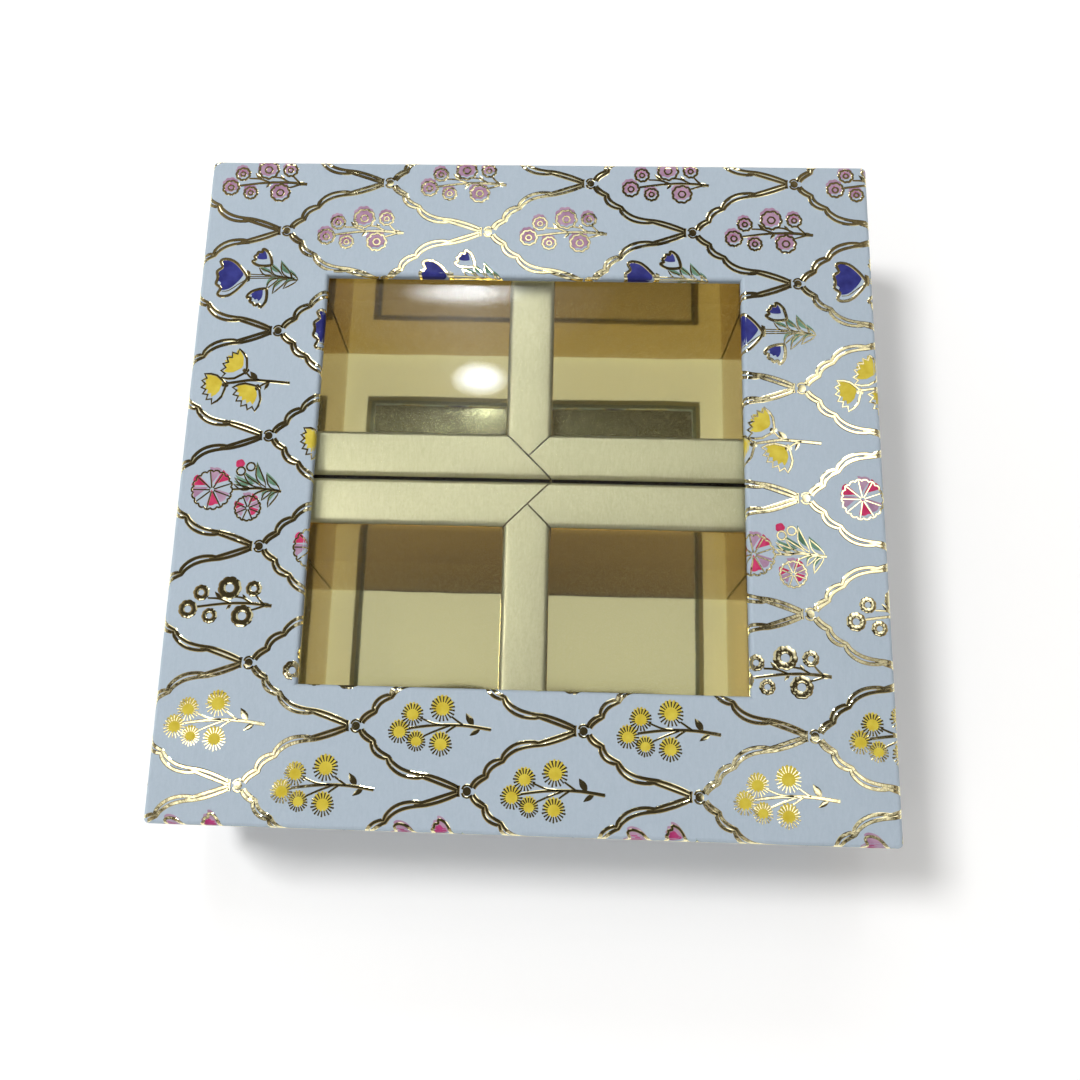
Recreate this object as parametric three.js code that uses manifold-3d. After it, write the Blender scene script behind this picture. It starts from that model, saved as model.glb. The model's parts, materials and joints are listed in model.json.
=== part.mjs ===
// Gift box for dried fruit: a rigid board base, a lift-off lid with a clear window, and two folded gold
// card trays with two compartments each. Millimetres, Z up, Y towards the back of the box.
// The origin lies on the table under the middle of the box.
import * as THREE from "three";
import { mergeVertices } from "three/addons/utils/BufferGeometryUtils.js";
import Module from "manifold-3d";

const wasm = await Module();
wasm.setup();

// Sizes of the lid and the base
const LID_WIDTH = 203; // outside of the square lid, over its paper
const SKIRT_DEPTH = 32; // lid's sides, from its top face down
const WINDOW_WIDTH = 124.5; // square window in the middle of the lid
const BOARD = 2; // greyboard of the lid and the base
const PAPER = 0.2; // wrapping, lining and bottom papers
const TURN_IN = 15; // paper folded round an edge on to the hidden face
const EDGE_ROUND = 1; // board at its folded edges and round the window
const CORNER_ROUND = 1.6; // upright corners, over the paper
const BASE_RISE = 1.8; // base's edge above the rims of the trays
const PAPER_MARGIN = 3; // bottom papers, in from the edge that they cover

// Sizes of the tapes and the window film
const STAY = 0.1; // tape round a board corner, under the paper
const STAY_WIDTH = 14; // tape on each side of its corner
const FILM = 0.25; // clear film
const FILM_LAP = 11; // film under the lid, past the window's edge
const TAPE = 0.1; // sticky strips between the film and the lid
const TAPE_WIDTH = 8;
const TAPE_MARGIN = 1.5; // strip in from the film's edge
const LINING_SETBACK = 3; // lining frame back from the window's edge

// Sizes of the gold card trays
const CARD = 0.5;
const TRAY_HEIGHT = 47.5; // rim to underside
const RIM = 14; // flat tops of the hollow walls along the middle
const END_RIM = 13; // the same at the front and the back
const DIVIDER = 13.7; // hollow wall between the two compartments of a tray
const COMPARTMENT = 66.5; // divider to side wall
const FOLD_ROUND = 1.6; // outside of the folds along the rims

// Clearances
const GLUE = 0.1; // between stuck layers
const SEAT = 0.3; // under a piece that lifts out
const LID_PLAY = 0.5; // lid round the base, each side
const TRAY_PLAY = 0.4; // trays in the base, each side
const TRAY_GAP = 0.8; // between the two trays
const SEAM = 0.4; // between card or board edges that meet at a corner

// Fineness of the rounded edges
const ARC_STEPS = 4;

// Layers that cover a board
const lap = STAY + 2 * GLUE; // board to the inside of its paper, with room for the corner tape
const skin = lap + PAPER; // board to the outside of its paper
const wall = BOARD + 2 * skin; // wrapped wall, papered on both faces

// Heights, from the table up
const baseBoardBottom = PAPER + GLUE + skin;
const baseFloor = baseBoardBottom + BOARD;
const innerPaper = baseFloor + GLUE;
const trayBottom = innerPaper + PAPER + SEAT;
const trayTop = trayBottom + TRAY_HEIGHT;
const baseTop = trayTop + BASE_RISE;
const liningBottom = baseTop + SEAT;
const filmBottom = liningBottom + PAPER + GLUE;
const tapeBottom = filmBottom + FILM + GLUE;
const lidBoardBottom = tapeBottom + TAPE + GLUE + skin;
const lidBoardTop = lidBoardBottom + BOARD;
const skirtBottom = lidBoardTop + skin - SKIRT_DEPTH;

// Half widths, from the middle out
const lidHalf = LID_WIDTH / 2;
const lidBoardHalf = lidHalf - skin;
const baseHalf = lidHalf - wall - LID_PLAY;
const baseBoardHalf = baseHalf - skin;
const trayHalf = baseHalf - wall - TRAY_PLAY;
const windowHalf = WINDOW_WIDTH / 2;
const windowBoard = windowHalf + skin;
const sideWall = DIVIDER / 2 + COMPARTMENT;

// Board faces that the papers follow, as [out, up, rounding] from one end of the paper to the other
const lidFaces = [
  [windowHalf + TURN_IN, lidBoardBottom],
  [windowBoard, lidBoardBottom, 0],
  [windowBoard, lidBoardTop, EDGE_ROUND],
  [lidBoardHalf, lidBoardTop, EDGE_ROUND],
  [lidBoardHalf, skirtBottom + skin, 0],
  [lidBoardHalf - BOARD, skirtBottom + skin, 0],
  [lidBoardHalf - BOARD, skirtBottom + TURN_IN],
];
const baseFaces = [
  [baseBoardHalf - BOARD, baseTop - TURN_IN],
  [baseBoardHalf - BOARD, baseTop - skin, 0],
  [baseBoardHalf, baseTop - skin, 0],
  [baseBoardHalf, baseBoardBottom, EDGE_ROUND],
  [baseBoardHalf - TURN_IN, baseBoardBottom],
];

const materials = {
  greyboard: { color: 0x9a948a, roughness: 0.92, metalness: 0 },
  print: { color: 0xd5dde5, roughness: 0.45, metalness: 0 },
  plain: { color: 0xf1eee6, roughness: 0.8, metalness: 0 },
  kraft: { color: 0xc3a577, roughness: 0.85, metalness: 0 },
  strip: { color: 0xe9e4d2, roughness: 0.5, metalness: 0 },
  film: { color: 0xffffff, roughness: 0.06, metalness: 0, transparent: true, opacity: 0.2 },
  gold: { color: 0xd9c678, roughness: 0.35, metalness: 1 },
};

// Follows square-cornered faces at a distance, on the left of the way along them, with round corners.
function foldLine(faces, distance) {
  const points = faces.map(([out, up]) => new THREE.Vector2(out, up));
  const left = points.slice(1).map((point, i) => {
    const way = point.clone().sub(points[i]).normalize();
    return new THREE.Vector2(-way.y, way.x);
  });
  const line = [points[0].clone().addScaledVector(left[0], distance)];
  for (let i = 1; i < points.length - 1; i++) {
    const rounding = faces[i][2];
    const centre = points[i].clone().addScaledVector(left[i - 1], -rounding).addScaledVector(left[i], -rounding);
    const radius = rounding + distance;
    if (radius === 0) {
      line.push(centre);
      continue;
    }
    const start = left[i - 1].angle();
    const arc = new THREE.Path().absarc(centre.x, centre.y, radius, start, start - Math.PI / 2, true);
    line.push(...arc.getPoints(ARC_STEPS));
  }
  line.push(points.at(-1).clone().addScaledVector(left.at(-1), distance));
  return line;
}

// Outline of a sheet that lies along faces, between two distances from them.
function sheetOutline(faces, near, far) {
  return foldLine(faces, far).concat(foldLine(faces, near).reverse());
}

// Carries a closed outline of [out, up] points round a square whose upright corners are rounded at half.
function squareLathe(outline, half) {
  const profile = THREE.ShapeUtils.area(outline) > 0 ? outline : [...outline].reverse();
  const positions = [];
  for (const { x: out, y: up } of profile) {
    const radius = Math.max(0, CORNER_ROUND - (half - out));
    for (let quarter = 0; quarter < 4; quarter++) {
      const middle = new THREE.Vector2(out - radius, out - radius);
      middle.rotateAround(new THREE.Vector2(), (quarter * Math.PI) / 2);
      for (let step = 0; step <= ARC_STEPS; step++) {
        const angle = ((quarter + step / ARC_STEPS) * Math.PI) / 2;
        positions.push(middle.x + radius * Math.cos(angle), middle.y + radius * Math.sin(angle), up);
      }
    }
  }
  const ring = 4 * (ARC_STEPS + 1);
  const index = [];
  for (let j = 0; j < profile.length; j++) {
    const above = ((j + 1) % profile.length) * ring;
    for (let i = 0; i < ring; i++) {
      const next = (i + 1) % ring;
      index.push(j * ring + i, j * ring + next, above + next, j * ring + i, above + next, above + i);
    }
  }
  const geometry = new THREE.BufferGeometry();
  geometry.setAttribute("position", new THREE.Float32BufferAttribute(positions, 3));
  geometry.setIndex(index);
  return geometry;
}

// Closed solid for joining and cutting, with shared points merged and flat triangles dropped.
function solid(geometry) {
  const bare = new THREE.BufferGeometry();
  bare.setAttribute("position", geometry.getAttribute("position"));
  bare.setIndex(geometry.getIndex());
  const merged = mergeVertices(bare, 1e-4);
  const corners = merged.getIndex().array;
  const kept = [];
  for (let i = 0; i < corners.length; i += 3) {
    const [a, b, c] = corners.slice(i, i + 3);
    if (a !== b && b !== c && c !== a) kept.push(a, b, c);
  }
  const vertProperties = new Float32Array(merged.getAttribute("position").array);
  return new wasm.Manifold(new wasm.Mesh({ numProp: 3, vertProperties, triVerts: new Uint32Array(kept) }));
}

function mesh(name, body, material) {
  const { vertProperties, triVerts } = body.getMesh();
  const geometry = new THREE.BufferGeometry();
  geometry.setAttribute("position", new THREE.Float32BufferAttribute(vertProperties, 3));
  geometry.setIndex(new THREE.Uint32BufferAttribute(triVerts, 1));
  geometry.computeVertexNormals();
  const look = new THREE.MeshStandardMaterial({ ...materials[material], flatShading: true });
  const made = new THREE.Mesh(geometry, look);
  made.name = name;
  return made;
}

// Block between two corners.
function block(x0, y0, z0, x1, y1, z1) {
  const geometry = new THREE.BoxGeometry(Math.abs(x1 - x0), Math.abs(y1 - y0), Math.abs(z1 - z0));
  return solid(geometry.translate((x0 + x1) / 2, (y0 + y1) / 2, (z0 + z1) / 2));
}

function sheet(half, bottom, thickness) {
  return block(-half, -half, bottom, half, half, bottom + thickness);
}

function ringSheet(inner, outer, bottom, top, half) {
  const outline = [[inner, bottom], [outer, bottom], [outer, top], [inner, top]];
  return solid(squareLathe(outline.map(([out, up]) => new THREE.Vector2(out, up)), half));
}

// Upright slot between two points of the plan, cut a little past its ends.
function slot(from, to, bottom, top, past = SEAM) {
  const start = new THREE.Vector2(...from);
  const way = new THREE.Vector2(...to).sub(start);
  const length = way.length() + SEAM + past;
  const geometry = new THREE.BoxGeometry(length, SEAM, top - bottom);
  geometry.translate(length / 2 - SEAM, 0, (top + bottom) / 2);
  geometry.rotateZ(way.angle()).translate(start.x, start.y, 0);
  return solid(geometry);
}

const corners = { back_right: [1, 1], back_left: [-1, 1], front_left: [-1, -1], front_right: [1, -1] };

// Board shell folded from one blank: its sides stay apart at the corners.
function foldedBoard(faces, others, half, bottom, top) {
  const outline = foldLine(faces, 0).concat(others.map(([out, up]) => new THREE.Vector2(out, up)));
  let shell = solid(squareLathe(outline, half));
  for (const [x, y] of Object.values(corners)) {
    const inner = half - skin - BOARD - SEAM;
    shell = shell.subtract(slot([x * inner, y * inner], [x * half, y * half], bottom, top));
  }
  return shell;
}

// One tape folded round each upright corner, between the board and the paper.
function cornerStays(prefix, boardHalf, half, bottom, top) {
  const band = ringSheet(boardHalf + GLUE, boardHalf + GLUE + STAY, bottom, top, half);
  return Object.entries(corners).map(([place, [x, y]]) => {
    const inner = half - STAY_WIDTH;
    const reach = block(x * inner, y * inner, bottom - 1, x * (half + 1), y * (half + 1), top + 1);
    return mesh(`${prefix}_corner_stay_${place}`, band.intersect(reach), "kraft");
  });
}

// Hollow wall of folded card: both faces and the rim, cut to its plan.
function hollowWall(axis, from, to, plan) {
  const width = Math.abs(to - from);
  const low = Math.min(from, to);
  const inside = TRAY_HEIGHT - CARD;
  const faces = [
    [CARD, 0],
    [CARD, inside, FOLD_ROUND - CARD],
    [width - CARD, inside, FOLD_ROUND - CARD],
    [width - CARD, 0],
  ];
  const length = 2 * trayHalf;
  const options = { depth: length, bevelEnabled: false };
  const geometry = new THREE.ExtrudeGeometry(new THREE.Shape(sheetOutline(faces, 0, CARD)), options);
  geometry.translate(0, 0, -length / 2);
  const basis = new THREE.Matrix4();
  const up = new THREE.Vector3(0, 0, 1);
  if (axis === "x") {
    basis.makeBasis(new THREE.Vector3(0, 1, 0), up, new THREE.Vector3(1, 0, 0)).setPosition(0, low, trayBottom);
  } else {
    basis.makeBasis(new THREE.Vector3(1, 0, 0), up, new THREE.Vector3(0, -1, 0)).setPosition(low, 0, trayBottom);
  }
  const outline = new THREE.Shape(plan.map(([x, y]) => new THREE.Vector2(x, y)));
  const prism = new THREE.ExtrudeGeometry(outline, { depth: 3 * TRAY_HEIGHT, bevelEnabled: false });
  prism.translate(0, 0, trayBottom - TRAY_HEIGHT);
  return solid(geometry.applyMatrix4(basis)).intersect(solid(prism));
}

// Tray folded from one card blank. Its near rim lies along the middle of the box, and side says which
// way the tray goes from there. Where the divider meets a rim, the left strip keeps one long slant and
// the right strip and the divider are pointed.
function tray(side) {
  const near = (side * TRAY_GAP) / 2;
  const far = side * trayHalf;
  const rims = [
    { edge: near, fold: near + side * RIM, tip: near + (side * RIM) / 2 },
    { edge: far, fold: far - side * END_RIM, tip: far - (side * END_RIM) / 2 },
  ];
  const half = DIVIDER / 2;
  const [one, two] = rims;
  const walls = [
    hollowWall("y", -half, half, [
      [-half, one.fold], [0, one.tip], [half, one.fold], [half, two.fold], [0, two.tip], [-half, two.fold],
    ]),
  ];
  for (const x of [-1, 1]) {
    walls.push(hollowWall("y", x * sideWall, x * trayHalf, [
      [x * trayHalf, one.edge], [x * sideWall, one.fold], [x * sideWall, two.fold], [x * trayHalf, two.edge],
    ]));
  }
  const cuts = [];
  for (const { edge, fold, tip } of rims) {
    walls.push(hollowWall("x", edge, fold, [
      [-trayHalf, edge], [-sideWall, fold], [-half, fold], [half, edge],
    ]));
    walls.push(hollowWall("x", edge, fold, [
      [trayHalf, edge], [sideWall, fold], [half, fold], [0, tip], [half, edge],
    ]));
    cuts.push(slot([-half, fold], [half, edge], 0, trayTop + 1));
    cuts.push(slot([half, fold], [0, tip], 0, trayTop + 1, 0));
    for (const x of [-1, 1]) cuts.push(slot([x * sideWall, fold], [x * trayHalf, edge], 0, trayTop + 1));
  }
  const floors = [-1, 1].map((x) =>
    block(
      x * (half - CARD), one.fold - side * CARD, trayBottom,
      x * (sideWall + CARD), two.fold + side * CARD, trayBottom + CARD,
    ),
  );
  const card = [...walls, ...floors].reduce((whole, piece) => whole.add(piece));
  return cuts.reduce((whole, cut) => whole.subtract(cut), card);
}

// Base: board, corner tapes, paper and the sheets on its floor and underside
const base = new THREE.Group();
const baseInside = [[0, baseBoardBottom], [0, baseFloor], [baseBoardHalf - BOARD, baseFloor]];
base.add(
  mesh("base_board", foldedBoard(baseFaces, baseInside, baseHalf, baseFloor, baseTop), "greyboard"),
  mesh("base_wrap", solid(squareLathe(sheetOutline(baseFaces, lap, skin), baseHalf)), "print"),
  mesh("base_bottom_paper", sheet(baseHalf - PAPER_MARGIN, 0, PAPER), "plain"),
  mesh("base_inner_paper", sheet(baseBoardHalf - BOARD - PAPER_MARGIN, innerPaper, PAPER), "plain"),
  ...cornerStays("base", baseBoardHalf, baseHalf, baseBoardBottom + EDGE_ROUND, baseTop - skin),
);

// Trays, side by side in the base
const trays = new THREE.Group();
trays.add(mesh("back_tray", tray(1), "gold"), mesh("front_tray", tray(-1), "gold"));

// Lid: board, corner tapes, paper, film on four sticky strips and the lining frame under it
const lid = new THREE.Group();
const lidInside = [[lidBoardHalf - BOARD, lidBoardBottom]];
const filmHalf = windowHalf + FILM_LAP;
const tapeEdge = filmHalf - TAPE_MARGIN;
const tapeInner = tapeEdge - TAPE_WIDTH;
const tapeTop = tapeBottom + TAPE;
lid.add(
  mesh("lid_board", foldedBoard(lidFaces, lidInside, lidHalf, 0, lidBoardBottom), "greyboard"),
  mesh("lid_wrap", solid(squareLathe(sheetOutline(lidFaces, lap, skin), lidHalf)), "print"),
  ...cornerStays("lid", lidBoardHalf, lidHalf, skirtBottom + skin, lidBoardTop - EDGE_ROUND),
  mesh("window_film", sheet(filmHalf, filmBottom, FILM), "film"),
  mesh("lid_lining", ringSheet(
    windowHalf + LINING_SETBACK, lidHalf - wall - GLUE, liningBottom, liningBottom + PAPER, lidHalf,
  ), "plain"),
);
for (const [place, way] of Object.entries({ back: 1, front: -1 })) {
  const strip = block(-tapeEdge, way * tapeInner, tapeBottom, tapeEdge, way * tapeEdge, tapeTop);
  lid.add(mesh(`film_tape_${place}`, strip, "strip"));
}
for (const [place, way] of Object.entries({ left: -1, right: 1 })) {
  const end = tapeInner - SEAM;
  const strip = block(way * tapeInner, -end, tapeBottom, way * tapeEdge, end, tapeTop);
  lid.add(mesh(`film_tape_${place}`, strip, "strip"));
}

const box = new THREE.Group();
box.name = "dried_fruit_box";
box.add(base, trays, lid);

export default box;
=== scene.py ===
"""Looks of a square dried fruit box with a window lid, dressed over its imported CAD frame.

The printed lid paper, the base paper and the two folded gold trays are rebuilt as fine meshes and
replace their nodes. The print is drawn flat, repeated on a lattice and folded round the lid. All other
nodes keep their CAD shape and get a finish. Sizes are in millimetres until a mesh is made.
"""

import json
import logging
import math
from collections.abc import Iterable, Sequence
from dataclasses import dataclass, field
from enum import Enum

import bmesh
import bpy
import numpy as np
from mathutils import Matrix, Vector, noise

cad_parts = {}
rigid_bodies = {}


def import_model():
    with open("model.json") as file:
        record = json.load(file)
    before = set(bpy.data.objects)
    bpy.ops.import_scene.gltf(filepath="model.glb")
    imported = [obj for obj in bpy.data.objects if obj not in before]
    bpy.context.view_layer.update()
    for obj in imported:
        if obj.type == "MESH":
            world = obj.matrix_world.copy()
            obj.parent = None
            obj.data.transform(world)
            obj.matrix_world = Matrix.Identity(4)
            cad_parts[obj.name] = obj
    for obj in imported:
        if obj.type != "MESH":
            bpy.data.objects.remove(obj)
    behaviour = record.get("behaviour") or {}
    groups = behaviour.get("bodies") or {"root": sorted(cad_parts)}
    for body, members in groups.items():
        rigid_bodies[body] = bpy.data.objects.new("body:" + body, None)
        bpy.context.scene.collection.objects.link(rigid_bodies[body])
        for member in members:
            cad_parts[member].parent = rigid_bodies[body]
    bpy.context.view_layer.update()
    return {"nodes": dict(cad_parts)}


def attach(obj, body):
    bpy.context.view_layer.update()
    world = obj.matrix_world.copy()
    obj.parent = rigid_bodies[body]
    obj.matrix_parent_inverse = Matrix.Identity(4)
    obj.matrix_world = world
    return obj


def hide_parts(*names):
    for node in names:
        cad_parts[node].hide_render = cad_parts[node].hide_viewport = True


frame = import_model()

LOG = logging.getLogger("dried_fruit_box")
MM = 0.001

# Folded edges steeper than this many degrees stay sharp.
CREASE = 35.0

# Depths of painted relief in metres.
HAIR_DEPTH = 0.0001
FIBRE_DEPTH = 0.0002
WAVE_DEPTH = 0.001

Colour = tuple[float, float, float, float]
Outputs = bpy.types.NodeOutputs
Plan = list[tuple[float, float]]
Socket = bpy.types.NodeSocket

WHITE: Colour = (1.0, 1.0, 1.0, 1.0)


class Body(Enum):
    """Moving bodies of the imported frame."""

    BASE = "base"
    BACK_TRAY = "back_tray"
    FRONT_TRAY = "front_tray"
    LID = "lid"


class Slot(Enum):
    """Material slots of the record."""

    PRINTED_PAPER = "printed_paper"
    WRAP_PAPER = "wrap_paper"
    GOLD_CARD = "gold_card"


class Ink(Enum):
    """Print runs on the lid paper: the hot foil and the flat inks."""

    FOIL = "foil"
    MAUVE = "mauve"
    MAGENTA = "magenta"
    CRIMSON = "crimson"
    BLUE = "blue"
    YELLOW = "yellow"
    GREEN = "green"


class Graph:
    """Adds nodes to one node tree and links them."""

    def __init__(self, tree: bpy.types.NodeTree) -> None:
        """Keeps the tree."""
        self.tree = tree

    def add(self, kind: str, inputs: dict[str | int, object] | None = None, **settings: object) -> bpy.types.Node:
        """Adds a node.

        Args:
            kind: Node type.
            inputs: Values or output sockets for its inputs, by name or place.
            **settings: Properties of the node.

        Returns:
            The new node.
        """
        node = self.tree.nodes.new(kind)
        for key, value in settings.items():
            setattr(node, key, value)
        self.fill(node, inputs or {})
        return node

    def fill(self, node: bpy.types.Node, inputs: dict[str | int, object]) -> None:
        """Links or sets several inputs of a node, by name or place."""
        for key, value in inputs.items():
            self.feed(node.inputs[key], value)

    def feed(self, socket: Socket, value: object) -> None:
        """Links an output socket to an input, or sets the input's value."""
        if isinstance(value, bpy.types.NodeSocket):
            self.tree.links.new(value, socket)
        else:
            socket.default_value = value

    def math(self, operation: str, first: object, second: object = 0.0) -> Socket:
        """Adds a math node and returns its result."""
        return self.add("ShaderNodeMath", {0: first, 1: second}, operation=operation).outputs[0]

    def vector(self, operation: str, first: object, second: object = (0.0, 0.0, 0.0)) -> Outputs:
        """Adds a vector math node and returns its outputs."""
        return self.add("ShaderNodeVectorMath", {0: first, 1: second}, operation=operation).outputs

    def noise(self, place: Socket, scale: object, **details: float) -> Socket:
        """Adds a noise texture and returns its value."""
        return self.add("ShaderNodeTexNoise", {"Vector": place, "Scale": scale, **details}).outputs[0]

    def blend(self, share: Socket, first: object, second: object) -> Socket:
        """Mixes two colours by a share and returns the result."""
        return self.add("ShaderNodeMix", {0: share, 6: first, 7: second}, data_type="RGBA").outputs[2]

    def stretch(
        self, value: Socket, span: tuple[object, object] = (0.0, 1.0), to: tuple[object, object] = (0.0, 1.0),
        **settings: object,
    ) -> Socket:
        """Maps one span of values to another.

        Args:
            value: Value to map.
            span: Its lower and upper end.
            to: What the two ends become.
            **settings: Properties of the node.

        Returns:
            The mapped value.
        """
        ends = {"Value": value, "From Min": span[0], "From Max": span[1], "To Min": to[0], "To Max": to[1]}
        return self.add("ShaderNodeMapRange", ends, **settings).outputs[0]

    def bump(self, strength: float, depth: float, height: Socket, under: Socket | None = None) -> Socket:
        """Adds relief.

        Args:
            strength: Strength of the relief.
            depth: Its depth in metres.
            height: Its height over the surface.
            under: Normal of coarser or finer relief that it lies on.

        Returns:
            The normal.
        """
        inputs = {"Strength": strength, "Distance": depth, "Height": height}
        if under is not None:
            inputs["Normal"] = under
        return self.add("ShaderNodeBump", inputs).outputs[0]


def new_group(name: str, kind: str, inputs: dict[str, str], outputs: dict[str, str]) -> bpy.types.NodeTree:
    """Makes an empty node group with named sockets.

    Args:
        name: Group name.
        kind: Tree type.
        inputs: Socket type of each input.
        outputs: Socket type of each output.

    Returns:
        The group.
    """
    tree = bpy.data.node_groups.new(name, kind)
    for label, socket in inputs.items():
        tree.interface.new_socket(label, in_out="INPUT", socket_type=socket)
    for label, socket in outputs.items():
        tree.interface.new_socket(label, in_out="OUTPUT", socket_type=socket)
    return tree


class SharedEffects:
    """Shader node groups that several finishes use."""

    @staticmethod
    def fibre() -> bpy.types.NodeTree:
        """Fine fibres of pressed paper.

        Returns:
            A group that puts out a colour between two tones and a height.
        """
        made = bpy.data.node_groups.get("paper_fibre")
        if made:
            return made
        sockets = {
            "Coordinates": "NodeSocketVector", "Fineness": "NodeSocketFloat",
            "Pale": "NodeSocketColor", "Dark": "NodeSocketColor",
        }
        results = {"Colour": "NodeSocketColor", "Height": "NodeSocketFloat"}
        tree = new_group("paper_fibre", "ShaderNodeTree", sockets, results)
        graph = Graph(tree)
        given = graph.add("NodeGroupInput").outputs
        drawn = graph.add("ShaderNodeMapping", {"Vector": given["Coordinates"], "Scale": (1.0, 0.22, 0.6)}).outputs[0]
        specks = graph.noise(given["Coordinates"], given["Fineness"], Detail=5.0, Roughness=0.7)
        threads = graph.noise(drawn, given["Fineness"], Detail=3.0, Distortion=1.2)
        height = graph.math("MULTIPLY", graph.math("ADD", specks, threads), 0.5)
        colour = graph.blend(graph.stretch(height, (0.36, 0.64)), given["Pale"], given["Dark"])
        graph.add("NodeGroupOutput", {"Colour": colour, "Height": height})
        return tree

    @staticmethod
    def mottle() -> bpy.types.NodeTree:
        """Slow unevenness of a pressed or glued surface.

        Returns:
            A group that puts out a value between two limits, a mask and a height.
        """
        made = bpy.data.node_groups.get("slow_mottle")
        if made:
            return made
        sockets = {
            "Coordinates": "NodeSocketVector", "Scale": "NodeSocketFloat",
            "Low": "NodeSocketFloat", "High": "NodeSocketFloat",
        }
        results = {"Value": "NodeSocketFloat", "Mask": "NodeSocketFloat", "Height": "NodeSocketFloat"}
        tree = new_group("slow_mottle", "ShaderNodeTree", sockets, results)
        graph = Graph(tree)
        given = graph.add("NodeGroupInput").outputs
        cloud = graph.noise(given["Coordinates"], given["Scale"], Detail=3.0)
        mask = graph.stretch(cloud, (0.3, 0.7))
        value = graph.stretch(mask, to=(given["Low"], given["High"]))
        graph.add("NodeGroupOutput", {"Value": value, "Mask": mask, "Height": cloud})
        return tree

    @staticmethod
    def fold_wear() -> bpy.types.NodeTree:
        """Paper rubbed pale along the upright corners.

        Returns:
            A group that puts out a mask.
        """
        made = bpy.data.node_groups.get("fold_wear")
        if made:
            return made
        sockets = {"Coordinates": "NodeSocketVector", "Half": "NodeSocketFloat", "Reach": "NodeSocketFloat"}
        tree = new_group("fold_wear", "ShaderNodeTree", sockets, {"Mask": "NodeSocketFloat"})
        graph = Graph(tree)
        given = graph.add("NodeGroupInput").outputs
        place = graph.add("ShaderNodeSeparateXYZ", {0: given["Coordinates"]}).outputs
        band = (graph.math("SUBTRACT", given["Half"], given["Reach"]), given["Half"])
        sides = [
            graph.stretch(graph.math("ABSOLUTE", place[axis]), band, interpolation_type="SMOOTHSTEP")
            for axis in (0, 1)
        ]
        broken = graph.stretch(graph.noise(given["Coordinates"], 260.0, Detail=4.0), (0.42, 0.62))
        graph.add("NodeGroupOutput", {"Mask": graph.math("MULTIPLY", graph.math("MULTIPLY", *sides), broken)})
        return tree


@dataclass(frozen=True)
class Finish:
    """A finish that makes one procedural material."""

    name: str

    def material(self) -> bpy.types.Material:
        """Returns the finish's material, made on first use."""
        made = bpy.data.materials.get(self.name)
        return made or self.make()

    def make(self) -> bpy.types.Material:
        """Builds the material. Each finish has its own."""
        raise NotImplementedError

    def start(self) -> tuple[bpy.types.Material, Graph, bpy.types.Node, Socket]:
        """Starts a material.

        Returns:
            The material, its graph, its Principled shader and the Object coordinates.
        """
        material = bpy.data.materials.new(self.name)
        material.use_nodes = True
        material.node_tree.nodes.clear()
        graph = Graph(material.node_tree)
        shader = graph.add("ShaderNodeBsdfPrincipled")
        graph.add("ShaderNodeOutputMaterial", {"Surface": shader.outputs[0]})
        return material, graph, shader, graph.add("ShaderNodeTexCoord").outputs["Object"]

    @staticmethod
    def fibre(graph: Graph, place: Socket, fineness: float, pale: Colour, dark: Colour) -> Outputs:
        """Places the paper fibre in a material and returns its outputs."""
        inputs = {"Coordinates": place, "Fineness": fineness, "Pale": pale, "Dark": dark}
        return graph.add("ShaderNodeGroup", inputs, node_tree=SharedEffects.fibre()).outputs

    @staticmethod
    def mottle(graph: Graph, place: Socket, scale: float, limits: tuple[float, float]) -> Outputs:
        """Places the slow mottle in a material and returns its outputs."""
        inputs = {"Coordinates": place, "Scale": scale, "Low": limits[0], "High": limits[1]}
        return graph.add("ShaderNodeGroup", inputs, node_tree=SharedEffects.mottle()).outputs


@dataclass(frozen=True)
class FibreFinish(Finish):
    """Uncoated paper, board or tape: two tones of fibre and a rough face."""

    pale: Colour
    dark: Colour
    fineness: float
    roughness: tuple[float, float]
    relief: float
    cloud: float = 45.0

    def make(self) -> bpy.types.Material:
        """Builds the material.

        Returns:
            The material.
        """
        material, graph, shader, place = self.start()
        fibre = self.fibre(graph, place, self.fineness, self.pale, self.dark)
        cloud = self.mottle(graph, place, self.cloud, self.roughness)
        graph.fill(shader, {
            "Base Color": fibre["Colour"], "Roughness": cloud["Value"],
            "Normal": graph.bump(self.relief, FIBRE_DEPTH, fibre["Height"]),
        })
        return material


@dataclass(frozen=True)
class SatinPaper(Finish):
    """Smooth coated wrapping paper with rubbed folds."""

    pale: Colour
    dark: Colour
    rubbed: Colour
    half: float
    fineness: float = 1400.0
    cloud: float = 22.0
    roughness: tuple[float, float] = (0.5, 0.62)
    relief: tuple[float, float] = (0.05, 0.08)
    wear_reach: float = 1.6

    def make(self) -> bpy.types.Material:
        """Builds the material.

        Returns:
            The material.
        """
        material, graph, shader, place = self.start()
        fibre = self.fibre(graph, place, self.fineness, self.pale, self.dark)
        cloud = self.mottle(graph, place, self.cloud, self.roughness)
        corners = {"Coordinates": place, "Half": self.half * MM, "Reach": self.wear_reach * MM}
        wear = graph.add("ShaderNodeGroup", corners, node_tree=SharedEffects.fold_wear()).outputs["Mask"]
        fine = graph.bump(self.relief[0], HAIR_DEPTH, fibre["Height"])
        graph.fill(shader, {
            "Base Color": graph.blend(wear, fibre["Colour"], self.rubbed), "Roughness": cloud["Value"],
            "Normal": graph.bump(self.relief[1], WAVE_DEPTH, cloud["Height"], fine),
            "Specular IOR Level": 0.3, "Coat Weight": 0.05, "Coat Roughness": 0.25,
        })
        return material


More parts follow.
